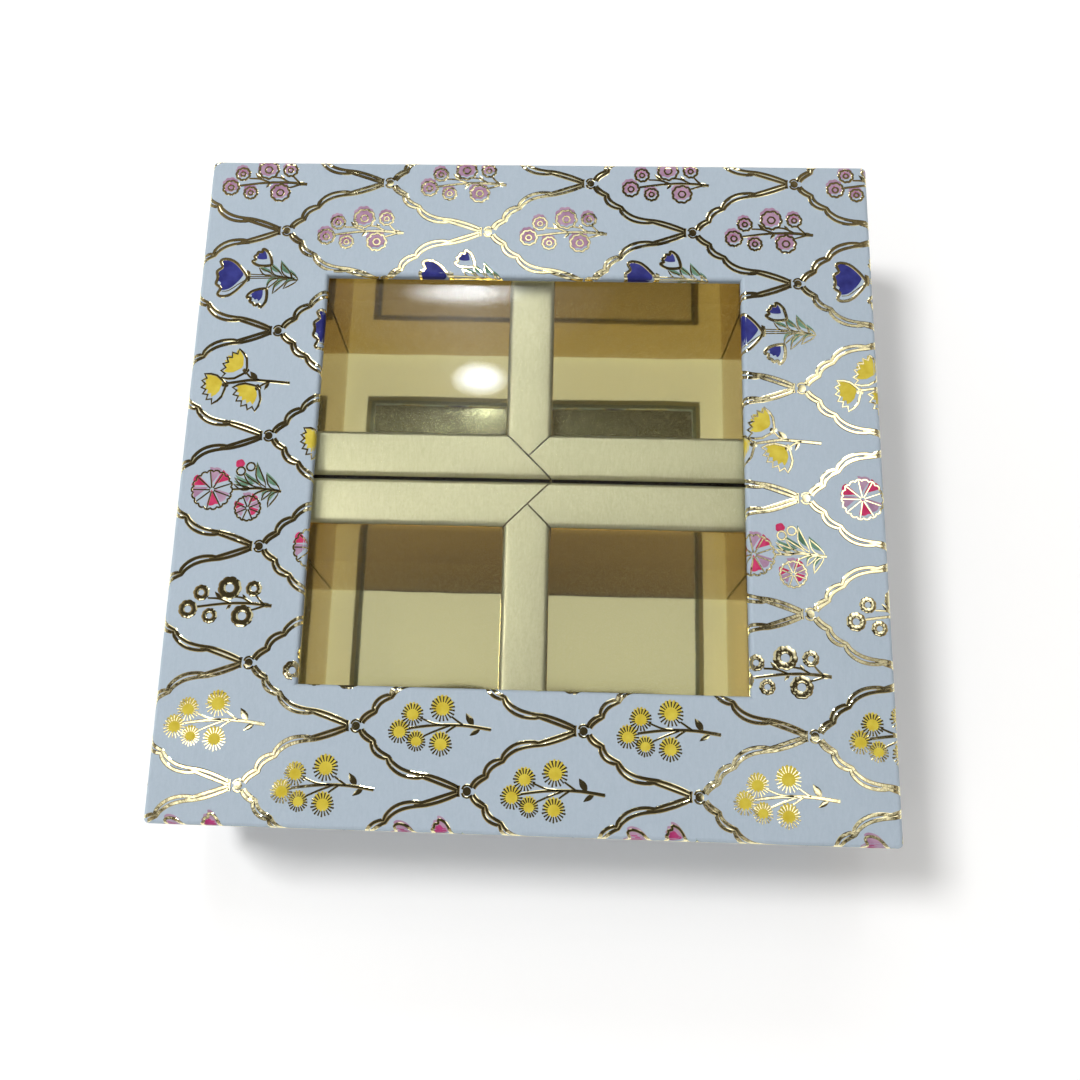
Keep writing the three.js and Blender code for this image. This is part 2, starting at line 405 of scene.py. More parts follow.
@dataclass(frozen=True)
class HotFoil(Finish):
    """Hot foil: a metal film with fine grain and slow waves."""

    light: Colour
    deep: Colour
    roughness: tuple[float, float]
    grain: float
    grain_relief: float
    wave: float
    wave_relief: float

    def make(self) -> bpy.types.Material:
        """Builds the material.

        Returns:
            The material.
        """
        material, graph, shader, place = self.start()
        fibre = self.fibre(graph, place, self.grain, self.light, self.deep)
        wave = self.mottle(graph, place, self.wave, self.roughness)
        fine = graph.bump(self.grain_relief, HAIR_DEPTH, fibre["Height"])
        graph.fill(shader, {
            "Base Color": fibre["Colour"], "Roughness": wave["Value"],
            "Normal": graph.bump(self.wave_relief, WAVE_DEPTH, wave["Height"], fine), "Metallic": 1.0,
        })
        return material


@dataclass(frozen=True)
class FoldedCard(Finish):
    """Metallised card: pale on the flat, with painted shade that makes the upright walls deeper brown and the rim
    tops dimmer; the rim tops are also rougher.

    A grain too fine to see switches between a sharp and a dull face, so that the card mirrors softly.
    """

    light: Colour
    deep: Colour
    # Painted shade: the upright walls take these deeper brown tones instead of the flat card's.
    wall_shade_pale: Colour
    wall_shade_deep: Colour
    # Painted shade: the rim tops take these dimmer tones instead of the flat card's.
    rim_shade_pale: Colour
    rim_shade_deep: Colour
    sharp: tuple[float, float]
    dull: float
    rim_dull: float
    grain: float = 12000.0
    wall_grain: float = 700.0
    rim_grain: float = 1300.0
    wave: float = 34.0
    wave_relief: float = 0.005
    dull_from: float = 0.57
    rim_dull_from: float = 0.36
    grain_blur: float = 0.02

    def make(self) -> bpy.types.Material:
        """Builds the material from the marks that the tray leaves on its faces.

        Returns:
            The material.
        """
        material, graph, shader, place = self.start()
        upright, rim = (
            graph.add("ShaderNodeAttribute", attribute_name=mark).outputs["Fac"] for mark in ("upright", "rim")
        )
        flat = self.fibre(graph, place, self.grain, self.light, self.deep)
        # Painted shade: deeper brown fibre tones for the upright walls.
        wall = self.fibre(graph, place, self.wall_grain, self.wall_shade_pale, self.wall_shade_deep)
        # Painted shade: dimmer fibre tones for the rim tops.
        rim_shade_fibre = self.fibre(graph, place, self.rim_grain, self.rim_shade_pale, self.rim_shade_deep)
        wave = self.mottle(graph, place, self.wave, self.sharp)
        inside = graph.blend(upright, flat["Colour"], wall["Colour"])
        matt = graph.stretch(rim, to=(self.dull, self.rim_dull))
        level = graph.stretch(rim, to=(self.dull_from, self.rim_dull_from))
        switch = graph.math("SUBTRACT", level, self.grain_blur), graph.math("ADD", level, self.grain_blur)
        graph.fill(shader, {
            "Base Color": graph.blend(rim, inside, rim_shade_fibre["Colour"]),
            "Roughness": graph.stretch(flat["Height"], switch, (wave["Value"], matt)),
            "Normal": graph.bump(self.wave_relief, WAVE_DEPTH, wave["Height"]), "Metallic": 1.0,
        })
        return material


@dataclass(frozen=True)
class FlatInk(Finish):
    """Printed colour with a thin gloss."""

    light: Colour
    deep: Colour
    cloud: float = 330.0
    roughness: tuple[float, float] = (0.36, 0.5)
    relief: float = 0.1

    def make(self) -> bpy.types.Material:
        """Builds the material.

        Returns:
            The material.
        """
        material, graph, shader, place = self.start()
        cloud = self.mottle(graph, place, self.cloud, self.roughness)
        graph.fill(shader, {
            "Base Color": graph.blend(cloud["Mask"], self.light, self.deep), "Roughness": cloud["Value"],
            "Normal": graph.bump(self.relief, FIBRE_DEPTH, cloud["Height"]), "Specular IOR Level": 0.3,
        })
        return material


@dataclass(frozen=True)
class ClearFilm(Finish):
    """Clear plastic film that lets lamp light through to the trays."""

    ior: float
    wave: float
    roughness: tuple[float, float] = (0.01, 0.04)
    relief: float = 0.03
    tint: Colour = (0.985, 0.99, 1.0, 1.0)
    shadow_tint: Colour = (0.95, 0.96, 0.97, 1.0)

    def make(self) -> bpy.types.Material:
        """Builds the material.

        Returns:
            The material.
        """
        material, graph, shader, place = self.start()
        cloud = self.mottle(graph, place, self.wave, self.roughness)
        graph.fill(shader, {
            "Base Color": self.tint, "Roughness": cloud["Value"], "IOR": self.ior, "Transmission Weight": 1.0,
            "Normal": graph.bump(self.relief, WAVE_DEPTH, cloud["Height"]),
            "Coat Weight": 0.12, "Coat Roughness": 0.16,
        })
        shadow = graph.add("ShaderNodeLightPath").outputs["Is Shadow Ray"]
        clear = graph.add("ShaderNodeBsdfTransparent", {"Color": self.shadow_tint}).outputs[0]
        mixed = graph.add("ShaderNodeMixShader", {0: shadow, 1: shader.outputs[0], 2: clear}).outputs[0]
        output = next(node for node in material.node_tree.nodes if node.type == "OUTPUT_MATERIAL")
        graph.feed(output.inputs["Surface"], mixed)
        return material


class Finishes:
    """Every finish on the box."""

    PAPER_TONES = ((0.445, 0.525, 0.605, 1), (0.405, 0.485, 0.565, 1), (0.60, 0.66, 0.72, 1))
    LID_PAPER = SatinPaper("lid_satin_paper", *PAPER_TONES, 101.4)
    BASE_PAPER = SatinPaper("base_satin_paper", *PAPER_TONES, 98.0)
    FOIL = HotFoil(
        "gold_foil", (0.92, 0.85, 0.55, 1), (0.86, 0.77, 0.44, 1), (0.03, 0.08),
        grain=900.0, grain_relief=0.01, wave=420.0, wave_relief=0.03,
    )
    # Flat card tones, then painted shade: deeper brown for the upright walls and dimmer tones for the rim tops.
    GOLD_CARD = FoldedCard(
        "gold_card_face", (0.86, 0.82, 0.45, 1), (0.80, 0.75, 0.38, 1), (0.62, 0.45, 0.18, 1),
        (0.54, 0.38, 0.14, 1), (0.58, 0.56, 0.35, 1), (0.50, 0.48, 0.28, 1),
        sharp=(0.03, 0.05), dull=0.34, rim_dull=0.46,
    )
    FILM = ClearFilm("clear_window_film", ior=1.2, wave=26.0)
    GREYBOARD = FibreFinish("greyboard", (0.36, 0.34, 0.31, 1), (0.22, 0.21, 0.19, 1), 700.0, (0.85, 0.95), 0.5)
    LINING = FibreFinish("white_lining_paper", (0.88, 0.87, 0.84, 1), (0.82, 0.81, 0.78, 1), 1200.0, (0.6, 0.75), 0.2)
    KRAFT = FibreFinish("kraft_tape", (0.54, 0.37, 0.20, 1), (0.40, 0.26, 0.13, 1), 800.0, (0.7, 0.85), 0.4)
    STRIP = FibreFinish("sticky_strip", (0.80, 0.77, 0.66, 1), (0.72, 0.69, 0.57, 1), 900.0, (0.35, 0.5), 0.15)
    INKS = {
        Ink.MAUVE: FlatInk("mauve_ink", (0.46, 0.30, 0.41, 1), (0.33, 0.17, 0.28, 1)),
        Ink.MAGENTA: FlatInk("magenta_ink", (0.50, 0.06, 0.22, 1), (0.30, 0.015, 0.09, 1)),
        Ink.CRIMSON: FlatInk("crimson_ink", (0.62, 0.05, 0.16, 1), (0.45, 0.01, 0.07, 1)),
        Ink.BLUE: FlatInk("royal_blue_ink", (0.035, 0.04, 0.24, 1), (0.015, 0.017, 0.14, 1)),
        Ink.YELLOW: FlatInk("yellow_ink", (0.68, 0.56, 0.07, 1), (0.56, 0.42, 0.03, 1)),
        Ink.GREEN: FlatInk("green_ink", (0.16, 0.30, 0.20, 1), (0.06, 0.15, 0.09, 1)),
    }


def make_mesh(name: str, points: np.ndarray, faces: Iterable[Sequence[int]]) -> bpy.types.Mesh:
    """Makes a smooth mesh from points in millimetres.

    Args:
        name: Mesh name.
        points: Points, one row each.
        faces: Point numbers of each face, anticlockwise from outside.

    Returns:
        The mesh, in metres.
    """
    mesh = bpy.data.meshes.new(name)
    mesh.from_pydata((np.asarray(points, float) * MM).tolist(), [], [tuple(face) for face in faces])
    mesh.validate()
    return mesh


def show(
    mesh: bpy.types.Mesh, body: Body, finish: Finish, sharp: float, stands_for: Sequence[str] = (),
) -> bpy.types.Object:
    """Puts a mesh in the scene as a piece of the object.

    Args:
        mesh: The piece's mesh, in place.
        body: Body that it rides on.
        finish: Finish that it wears.
        sharp: Edges steeper than this many degrees stay sharp.
        stands_for: CAD nodes that it replaces.

    Returns:
        The piece.
    """
    mesh.shade_smooth()
    mesh.set_sharp_from_angle(angle=math.radians(sharp))
    mesh.materials.clear()
    mesh.materials.append(finish.material())
    piece = bpy.data.objects.new(mesh.name, mesh)
    bpy.context.scene.collection.objects.link(piece)
    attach(piece, body.value)
    if stands_for:
        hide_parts(*stands_for)
    LOG.info("%s: %d faces on %s", piece.name, len(mesh.polygons), body.value)
    return piece


@dataclass
class PaperWrap:
    """A sheet folded round a square board shell, turned in at both ends."""

    name: str
    node: str
    body: Body
    slot: Slot
    finish: Finish
    half: float
    faces: list[tuple[float, float, float]]
    near: float = 0.3
    far: float = 0.34
    corner_round: float = 1.6
    least_round: float = 0.02
    steps: int = 8

    def fold_line(self, distance: float) -> np.ndarray:
        """Follows the board faces at a distance on the left, with round corners.

        Args:
            distance: How far the line stays from the faces.

        Returns:
            Points of out and up.
        """
        corners = [np.array(face[:2]) for face in self.faces]
        ways = [(b - a) / np.linalg.norm(b - a) for a, b in zip(corners, corners[1:])]
        left = [np.array((-way[1], way[0])) for way in ways]
        line = [corners[0] + left[0] * distance]
        for i in range(1, len(corners) - 1):
            rounding = self.faces[i][2]
            centre = corners[i] - rounding * (left[i - 1] + left[i])
            start = math.atan2(left[i - 1][1], left[i - 1][0])
            for step in range(self.steps + 1):
                angle = start - math.pi / 2 * step / self.steps
                line.append(centre + (rounding + distance) * np.array((math.cos(angle), math.sin(angle))))
        line.append(corners[-1] + left[-1] * distance)
        return np.array(line)

    def build(self) -> bpy.types.Object:
        """Carries the sheet's section round the square.

        Returns:
            The paper.
        """
        profile = np.vstack([self.fold_line(self.far), self.fold_line(self.near)[::-1]])
        area = np.sum(profile[:, 0] * np.roll(profile[:, 1], -1) - np.roll(profile[:, 0], -1) * profile[:, 1])
        if area < 0:
            profile = profile[::-1]
        points: list[tuple[float, float, float]] = []
        for out, up in profile:
            radius = max(self.least_round, self.corner_round - (self.half - out))
            for quarter in range(4):
                turn = quarter * math.pi / 2
                middle = (out - radius) * np.array((math.cos(turn) - math.sin(turn), math.sin(turn) + math.cos(turn)))
                for step in range(self.steps + 1):
                    angle = turn + math.pi / 2 * step / self.steps
                    points.append((middle[0] + radius * math.cos(angle), middle[1] + radius * math.sin(angle), up))
        ring = 4 * (self.steps + 1)
        faces = []
        for j in range(len(profile)):
            above = (j + 1) % len(profile) * ring
            for i in range(ring):
                following = (i + 1) % ring
                faces.append((j * ring + i, j * ring + following, above + following, above + i))
        mesh = make_mesh(self.name, np.array(points), faces)
        return show(mesh, self.body, self.finish, CREASE, (self.node,))


class FlatArt:
    """Flat print in millimetres: bevelled strokes and filled outlines, as points on the complex plane."""

    EDGE = 0.012
    FLAT = 0.62

    def __init__(self) -> None:
        """Starts with nothing drawn."""
        self.points: list[tuple[float, float, float]] = []
        self.faces: list[tuple[int, ...]] = []

    def stroke(self, line: np.ndarray, width: float | np.ndarray, height: float = 0.06, closed: bool = False) -> None:
        """Draws a flat-topped stroke along a line.

        Args:
            line: Points of the line.
            width: Width, one for all or one for each point.
            height: Height of its top.
            closed: Whether the line joins up.
        """
        count = len(line)
        way = np.roll(line, -1) - np.roll(line, 1)
        if not closed:
            way[0], way[-1] = line[1] - line[0], line[-1] - line[-2]
        side = 1j * way / np.maximum(np.abs(way), 1e-9) * np.broadcast_to(np.asarray(width) / 2, count)
        first = len(self.points)
        for middle, offset in zip(line, side):
            for share, lift in ((1, self.EDGE), (self.FLAT, height), (-self.FLAT, height), (-1, self.EDGE)):
                point = middle + share * offset
                self.points.append((point.real, point.imag, lift))
        for i in range(count if closed else count - 1):
            a, b = first + 4 * i, first + 4 * ((i + 1) % count)
            self.faces += [(a + k, a + k + 1, b + k + 1, b + k) for k in range(3)]
            self.faces.append((a, b, b + 3, a + 3))
        if not closed:
            last = first + 4 * (count - 1)
            self.faces += [(first, first + 3, first + 2, first + 1), (last, last + 1, last + 2, last + 3)]

    def fill(self, outline: np.ndarray, height: float = 0.035) -> None:
        """Fills an outline that its own middle can see, slightly crowned.

        Args:
            outline: Points of the outline, anticlockwise.
            height: Height at the middle.
        """
        first, count = len(self.points), len(outline)
        self.points += [(point.real, point.imag, self.EDGE) for point in outline]
        middle = outline.mean()
        self.points.append((middle.real, middle.imag, height))
        self.faces += [(first + i, first + (i + 1) % count, first + count) for i in range(count)]
        self.faces.append(tuple(range(first + count - 1, first - 1, -1)))

    def mesh(self, name: str) -> bpy.types.Mesh:
        """Returns the drawing as a mesh in millimetres."""
        mesh = bpy.data.meshes.new(name)
        mesh.from_pydata(self.points, [], self.faces)
        return mesh


def smooth_line(knots: Sequence[complex], steps: int = 6, closed: bool = False) -> np.ndarray:
    """Passes a smooth line through points.

    Args:
        knots: Points that the line goes through.
        steps: Points for each stretch.
        closed: Whether the line joins up.

    Returns:
        Points of the line.
    """
    if closed:
        p = [knots[-1], *knots, knots[0], knots[1]]
    else:
        p = [2 * knots[0] - knots[1], *knots, 2 * knots[-1] - knots[-2]]
    t = np.arange(steps) / steps
    line = np.concatenate([
        0.5 * (2 * p[i] + (p[i + 1] - p[i - 1]) * t + (2 * p[i - 1] - 5 * p[i] + 4 * p[i + 1] - p[i + 2]) * t**2
               + (3 * p[i] - p[i - 1] - 3 * p[i + 1] + p[i + 2]) * t**3)
        for i in range(1, len(p) - 2)
    ])
    return line if closed else np.append(line, knots[-1])


def lobes(radius: float, count: int, depth: float, turn: float = 0.0, steps: int = 5) -> np.ndarray:
    """Outlines a round flower with lobes, about nought.

    Args:
        radius: Radius at the lobes' tips.
        count: How many lobes.
        depth: Depth of the notches, as a share of the radius.
        turn: Turn of the flower in radians.
        steps: Points for each lobe.

    Returns:
        Points of the outline.
    """
    angle = 2 * np.pi * np.arange(count * steps) / (count * steps)
    reach = radius * (1 - depth * (1 - np.abs(np.cos(count * angle / 2)) ** 0.6))
    return reach * np.exp(1j * (angle + turn))


def leaf(base: complex, tip: complex, width: float, bend: float = 0.0, steps: int = 7) -> np.ndarray:
    """Outlines a pointed leaf.

    Args:
        base: Where it leaves the stem.
        tip: Its point.
        width: Width at the middle.
        bend: Sideways bend, as a share of its length.
        steps: Points on each side.

    Returns:
        Points of the outline.
    """
    t = np.linspace(0, 1, steps)
    axis = tip - base
    spine = base + axis * t + 1j * axis * bend * np.sin(np.pi * t)
    half = 1j * axis / abs(axis) * width / 2 * np.sin(np.pi * t**0.85)
    return np.concatenate([spine - half, (spine + half)[-2:0:-1]])


def fan(base: complex, heading: float, length: float, teeth: int = 6) -> np.ndarray:
    """Outlines a tulip cup that opens like a fan with a toothed mouth.

    Args:
        base: Where it meets the stem.
        heading: Direction of the mouth in degrees.
        length: Length from base to mouth.
        teeth: Teeth of the mouth.

    Returns:
        Points of the outline.
    """
    side = np.array([0.02 - 0.07j, 0.06 - 0.16j, 0.26 - 0.47j, 0.48 - 0.61j])
    angle = np.radians(np.linspace(-43, 43, 2 * teeth - 1))
    reach = np.where(np.arange(2 * teeth - 1) % 2 == 0, 1.0, 0.83)
    shape = np.concatenate([side, reach * np.exp(1j * angle), np.conj(side)[::-1]])
    return base + length * shape * np.exp(1j * math.radians(heading))


def bloom(base: complex, heading: float, length: float, width: float) -> np.ndarray:
    """Outlines a heart-shaped bloom with a three-lobed mouth.

    Args:
        base: Where it meets the stem.
        heading: Direction of the mouth in degrees.
        length: Length from base to mouth.
        width: Widest width.

    Returns:
        Points of the outline.
    """
    half = [0.0 - 0.1j, 0.2 - 0.52j, 0.48 - 0.9j, 0.76 - 1.0j, 0.9 - 0.87j, 0.82 - 0.56j, 0.98 - 0.34j, 0.95 - 0.08j]
    knots = half + [point.conjugate() for point in half[::-1]]
    shape = [complex(point.real * length, point.imag * width / 2) for point in knots]
    return base + smooth_line(shape, 3, closed=True) * np.exp(1j * math.radians(heading))


class Sprig:
    """One flower sprig of the print, drawn from the knot on its left. The inks sit a little above the foil."""

    PLACE = -0.25 + 0.3j
    REGISTER = -0.3 + 1.1j

    def __init__(self) -> None:
        """Starts with one empty drawing for each ink."""
        self.art = {ink: FlatArt() for ink in Ink}

    def line(self, *knots: complex, width: float = 0.75, end: float = 0.75) -> None:
        """Draws a foil stem that thins towards its end."""
        path = smooth_line(knots, 5) + self.PLACE
        self.art[Ink.FOIL].stroke(path, np.linspace(width, width * end, len(path)))

    def outline(self, shape: np.ndarray, width: float = 0.5) -> None:
        """Draws a foil outline."""
        self.art[Ink.FOIL].stroke(shape + self.PLACE, width, closed=True)

    def foil(self, shape: np.ndarray) -> None:
        """Fills a shape with foil."""
        self.art[Ink.FOIL].fill(shape + self.PLACE, 0.06)

    def tint(self, shape: np.ndarray, ink: Ink, share: float = 1.0, lift: float = 0.035) -> None:
        """Fills a shape, drawn smaller by a share, with ink."""
        middle = shape.mean()
        self.art[ink].fill(middle + share * (shape - middle) + self.PLACE + self.REGISTER, lift)

    def wheel(self, centre: complex, edge: np.ndarray, hole: float) -> None:
        """Draws a flat foil ring between an edge and a round hole."""
        reach = np.abs(edge)
        middle = centre + self.PLACE + edge / reach * (reach + hole) / 2
        self.art[Ink.FOIL].stroke(middle, reach - hole, closed=True)

    def leaves(self, *shapes: tuple[complex, complex, float]) -> None:
        """Draws solid foil leaves, each from its base to its tip with a width."""
        for base, tip, width in shapes:
            self.foil(leaf(base, tip, width))

    def blades(self, *shapes: tuple[complex, complex, float]) -> None:
        """Draws green leaves with foil outlines, each from its base to its tip with a width."""
        for base, tip, width in shapes:
            shape = leaf(base, tip, width, 0.1 if tip.imag > base.imag else -0.1, 6)
            self.tint(shape, Ink.GREEN, 0.9)
            self.outline(shape, 0.5)


class SprigBook:
    """The seven sprigs of the print, in their order up the lattice."""

    HEADS = (
        (13.0 - 2.2j, 2.8, 0.95), (16.4 + 2.6j, 2.4, 0.8), (24.4 + 4.1j, 3.5, 1.2),
        (31.3 + 4.0j, 2.4, 0.8), (19.3 - 4.0j, 2.3, 0.8), (28.6 - 3.9j, 3.3, 1.15),
    )
    DAISIES = ((12.6 - 1.7j, 2.9), (16.0 + 3.1j, 2.9), (24.2 + 4.9j, 3.3), (17.3 - 4.2j, 2.5), (24.0 - 4.8j, 3.0))
    RAYS = 19

    @classmethod
    def all(cls) -> list[Sprig]:
        """Returns every sprig, from the lattice's first pair of rows."""
        return [
            cls.blossoms(), cls.buds(), cls.daisies(), cls.gold_blossoms(),
            cls.carnations(), cls.yellow_tulips(), cls.blue_tulips(),
        ]

    @staticmethod
    def spray(sprig: Sprig) -> None:
        """Draws the branched stem of the blossom sprigs.

        Args:
            sprig: Sprig that gets the stem.
        """
        sprig.line(36.8 - 0.9j, 31 - 0.3j, 24 - 0.4j, 15.6 - 1.5j, width=1.05)
        sprig.line(25 - 0.3j, 21.8 + 0.9j, 18.4 + 1.1j)
        sprig.line(31 - 0.2j, 28.6 + 1.2j, 26.2 + 1.6j)
        sprig.line(34.6 - 0.6j, 33.2 + 0.8j, 32.2 + 2.0j)
        sprig.line(34.8 - 0.9j, 32.6 - 1.7j, 31.0 - 2.2j)
        sprig.leaves(
            (36.9 - 0.9j, 32.6 - 0.4j, 1.5), (22.6 + 0.5j, 20.2 + 3.0j, 1.2),
            (29.6 + 0.4j, 28.2 + 2.4j, 1.0), (25.4 - 0.3j, 23.9 - 2.2j, 1.0),
        )

    @classmethod
    def blossoms(cls) -> Sprig:
        """Small mauve blossoms.

        Returns:
            The sprig.
        """
        sprig = Sprig()
        cls.spray(sprig)
        for i, (head, radius, hole) in enumerate(cls.HEADS):
            edge = lobes(radius, 9, 0.18, 0.3 * i)
            sprig.tint(head + edge, Ink.MAUVE, 0.95)
            sprig.tint(head + lobes(radius * 0.3, 5, 0.2, 0.4 * i, 3), Ink.MAGENTA, 1.0, 0.045)
            sprig.outline(head + edge * 0.9, 0.8)
            sprig.outline(head + lobes(hole * 0.95, 6, 0.05, 0.0, 2), 0.66)
        return sprig

    @classmethod
    def gold_blossoms(cls) -> Sprig:
        """Open blossoms in solid foil.

        Returns:
            The sprig.
        """
        sprig = Sprig()
        cls.spray(sprig)
        for i, (head, radius, hole) in enumerate(cls.HEADS):
            sprig.wheel(head, lobes(radius, 9, 0.14, 0.3 * i), hole)
        return sprig

    @staticmethod
    def buds() -> Sprig:
        """Magenta heart buds with leaves.

        Returns:
            The sprig.
        """
        sprig = Sprig()
        blooms = ((20.0 + 1.6j, 176, 8.6, 11.0), (26.8 - 3.4j, 214, 5.6, 5.6), (27.8 + 5.0j, 158, 5.2, 5.0))
        for base, heading, length, width in blooms:
            shape = bloom(base, heading, length, width)
            sprig.tint(shape, Ink.MAUVE, 0.98)
            sprig.tint(shape - 0.6j, Ink.MAGENTA, 0.72, 0.05)
            sprig.outline(shape, 0.85)
            sprig.line(36 - 0.2j, 31 + 0.4j, base, width=0.8)
        sprig.blades(
            (30 + 0.6j, 28.4 + 5.2j, 1.8), (33 + 0.2j, 31.0 + 5.0j, 1.7), (30.5, 29.6 - 5.0j, 1.7),
            (33.5, 33.4 - 4.0j, 1.5), (36.2 - 0.2j, 34.2 + 2.6j, 1.3),
        )
        return sprig

    @classmethod
    def daisies(cls) -> Sprig:
        """Yellow daisies on a branched stem.

        Returns:
            The sprig.
        """
        sprig = Sprig()
        for i, (head, radius) in enumerate(cls.DAISIES):
            sprig.tint(head + 0.25 - 0.2j + lobes(radius * 0.92, 15, 0.22, 0.2 * i, 4), Ink.YELLOW, 1.0, 0.05)
            for k in range(cls.RAYS):
                ray = np.exp(2j * np.pi * (k + 0.3 * i) / cls.RAYS)
                reach = 1.03 + 0.06 * (k % 2)
                sprig.line(head + 0.55 * radius * ray, head + reach * radius * ray, width=0.36, end=1.5)
        sprig.line(37.6 - 0.5j, 31 + 0.4j, 25 + 0.5j, 20 + 0.1j, 15.2 - 0.6j, width=1.05)
        sprig.line(25.5 + 0.5j, 21.8 + 0.9j, 18.2 + 2.3j, width=0.7)
        sprig.line(30 + 0.5j, 28.4 + 1.6j, 26.7 + 2.8j, width=0.7)
        sprig.line(26.4 + 0.4j, 22.4 - 1.2j, 19.4 - 2.6j, width=0.7)
        sprig.line(28 + 0.4j, 26.6 - 0.6j, 25.3 - 1.6j, width=0.7)
        sprig.leaves(
            (32.8 + 0.4j, 30.6 + 3.9j, 1.9), (34.8 - 0.2j, 31.8 - 2.3j, 1.4), (37.9 - 0.6j, 34.0 + 0.2j, 1.0),
        )
        return sprig

    @staticmethod
    def carnations() -> Sprig:
        """Round carnations in wedges, with buds and leaves.

        Returns:
            The sprig.
        """
        sprig = Sprig()
        for head, radius, wedges, turn in ((16.5 - 0.4j, 6.0, 9, 20.0), (27.4 - 5.8j, 3.8, 8, 25.0)):
            for k in range(wedges):
                low, high = np.radians(turn + 360 / wedges * np.array((k, k + 1)))
                arc = np.linspace(low, high, 7)
                edge = radius * (0.94 + 0.06 * np.abs(np.sin(1.5 * np.linspace(0, np.pi, 7))))
                shape = head + np.concatenate([[0.12 * radius * np.exp(1j * arc[3])], edge * np.exp(1j * arc)])
                if k % 3 < 2:
                    sprig.tint(shape, (Ink.CRIMSON, Ink.MAUVE)[k % 3], 0.94)
                spoke = radius * np.exp(1j * low)
                sprig.line(head + 0.1 * spoke, head + 0.95 * spoke, width=0.5, end=0.9)
            sprig.outline(head + lobes(radius, 2 * wedges, 0.08, 0.0, 4), 0.62)
        sprig.tint(24.4 + 6.6j + lobes(1.4, 5, 0.2), Ink.CRIMSON)
        for ring in (24.5 + 5.4j, 27.3 + 6.8j):
            sprig.outline(ring + lobes(1.25, 6, 0.05, 0.0, 3), 0.6)
        sprig.line(36.8 - 0.6j, 30 + 0.2j, 22.4 - 0.2j, width=0.9)
        sprig.line(32.5, 29.6 - 1.2j, 28.6 - 2.2j)
        sprig.blades(
            (36.4 - 0.3j, 32.1 + 4.5j, 2.0), (32.2 + 0.6j, 29.2 + 7.8j, 1.9), (31 + 0.6j, 25.4 + 4.6j, 1.5),
            (29.5 + 0.4j, 22.8 + 3.4j, 1.5), (28 + 0.2j, 22.6 + 1.5j, 1.2), (36 - 0.7j, 33.2 - 5.4j, 1.7),
            (34 - 0.5j, 31.2 - 3.4j, 1.2),
        )
        return sprig

    @staticmethod
    def yellow_tulips() -> Sprig:
        """Three yellow tulip cups with toothed mouths.

        Returns:
            The sprig.
        """
        sprig = Sprig()
        for base, heading, length in ((23.2 + 3.2j, 153, 7.6), (17.4 - 1.0j, 197, 7.3), (27.2 - 1.9j, 224, 7.6)):
            sprig.tint(fan(base, heading, length), Ink.YELLOW, 0.8, 0.05)
            sprig.outline(fan(base, heading, length), 0.78)
            mouth = np.exp(1j * math.radians(heading))
            sprig.foil(base + mouth * (lobes(1.15, 3, 0.35, 0.0, 4) + 0.1))
        sprig.line(36.6 - 0.5j, 30 + 0.1j, 25 + 0.4j, 20.5 - 0.3j, 17.2 - 0.8j, width=1.1)
        sprig.line(27.4 + 0.4j, 24.8 + 1.2j, 23.2 + 2.9j, width=0.8)
        sprig.line(31 + 0.1j, 29 - 0.7j, 27.3 - 1.9j, width=0.8)
        sprig.leaves((26.8 + 0.4j, 24.4 + 3.2j, 1.7), (30.4 - 0.1j, 29.1 - 2.8j, 1.1))
        return sprig

    @staticmethod
    def blue_tulips() -> Sprig:
        """Royal blue blooms with ferny leaves.

        Returns:
            The sprig.
        """
        sprig = Sprig()
        blooms = (
            (20.6 + 0.4j, 180, 9.4, 12.6, 0.84), (26.8 - 3.4j, 232, 6.2, 6.0, 0.66),
            (27.8 + 4.9j, 144, 6.0, 5.6, 0.6),
        )
        for base, heading, length, width, share in blooms:
            shape = bloom(base, heading, length, width)
            sprig.tint(shape, Ink.BLUE, share, 0.05)
            sprig.outline(shape, 1.0)
        sprig.line(20.2 - 0.4j, 18.0 - 2.0j, 15.4 - 3.9j, 13.4 - 4.2j, width=0.4)
        sprig.foil(0.9j + 20.9 + np.array([1.0, 0.7 + 1.6j, -0.4 + 2.1j, -0.5, -0.4 - 2.1j, 0.7 - 1.6j]))
        for rise in (-0.7, 0.0, 0.7):
            sprig.line(35.2 + 0.2j, 29 + 0.8j + 0.7j * rise, 21.6 + 0.9j + 1j * rise, width=0.42, end=0.9)
        sprig.blades(
            (34.8 + 0.3j, 30.9 + 5.7j, 2.0), (31.6 + 0.9j, 27.6 + 5.0j, 1.8), (28.6 + 1.4j, 24.2 + 3.8j, 1.5),
            (33.2, 28.9 - 4.9j, 1.8), (30.4 + 0.2j, 26.9 - 3.4j, 1.4), (36.2 - 0.4j, 32.1 - 3.2j, 1.5),
            (36.4 - 0.2j, 34.0 + 2.4j, 1.2),
        )
        return sprig


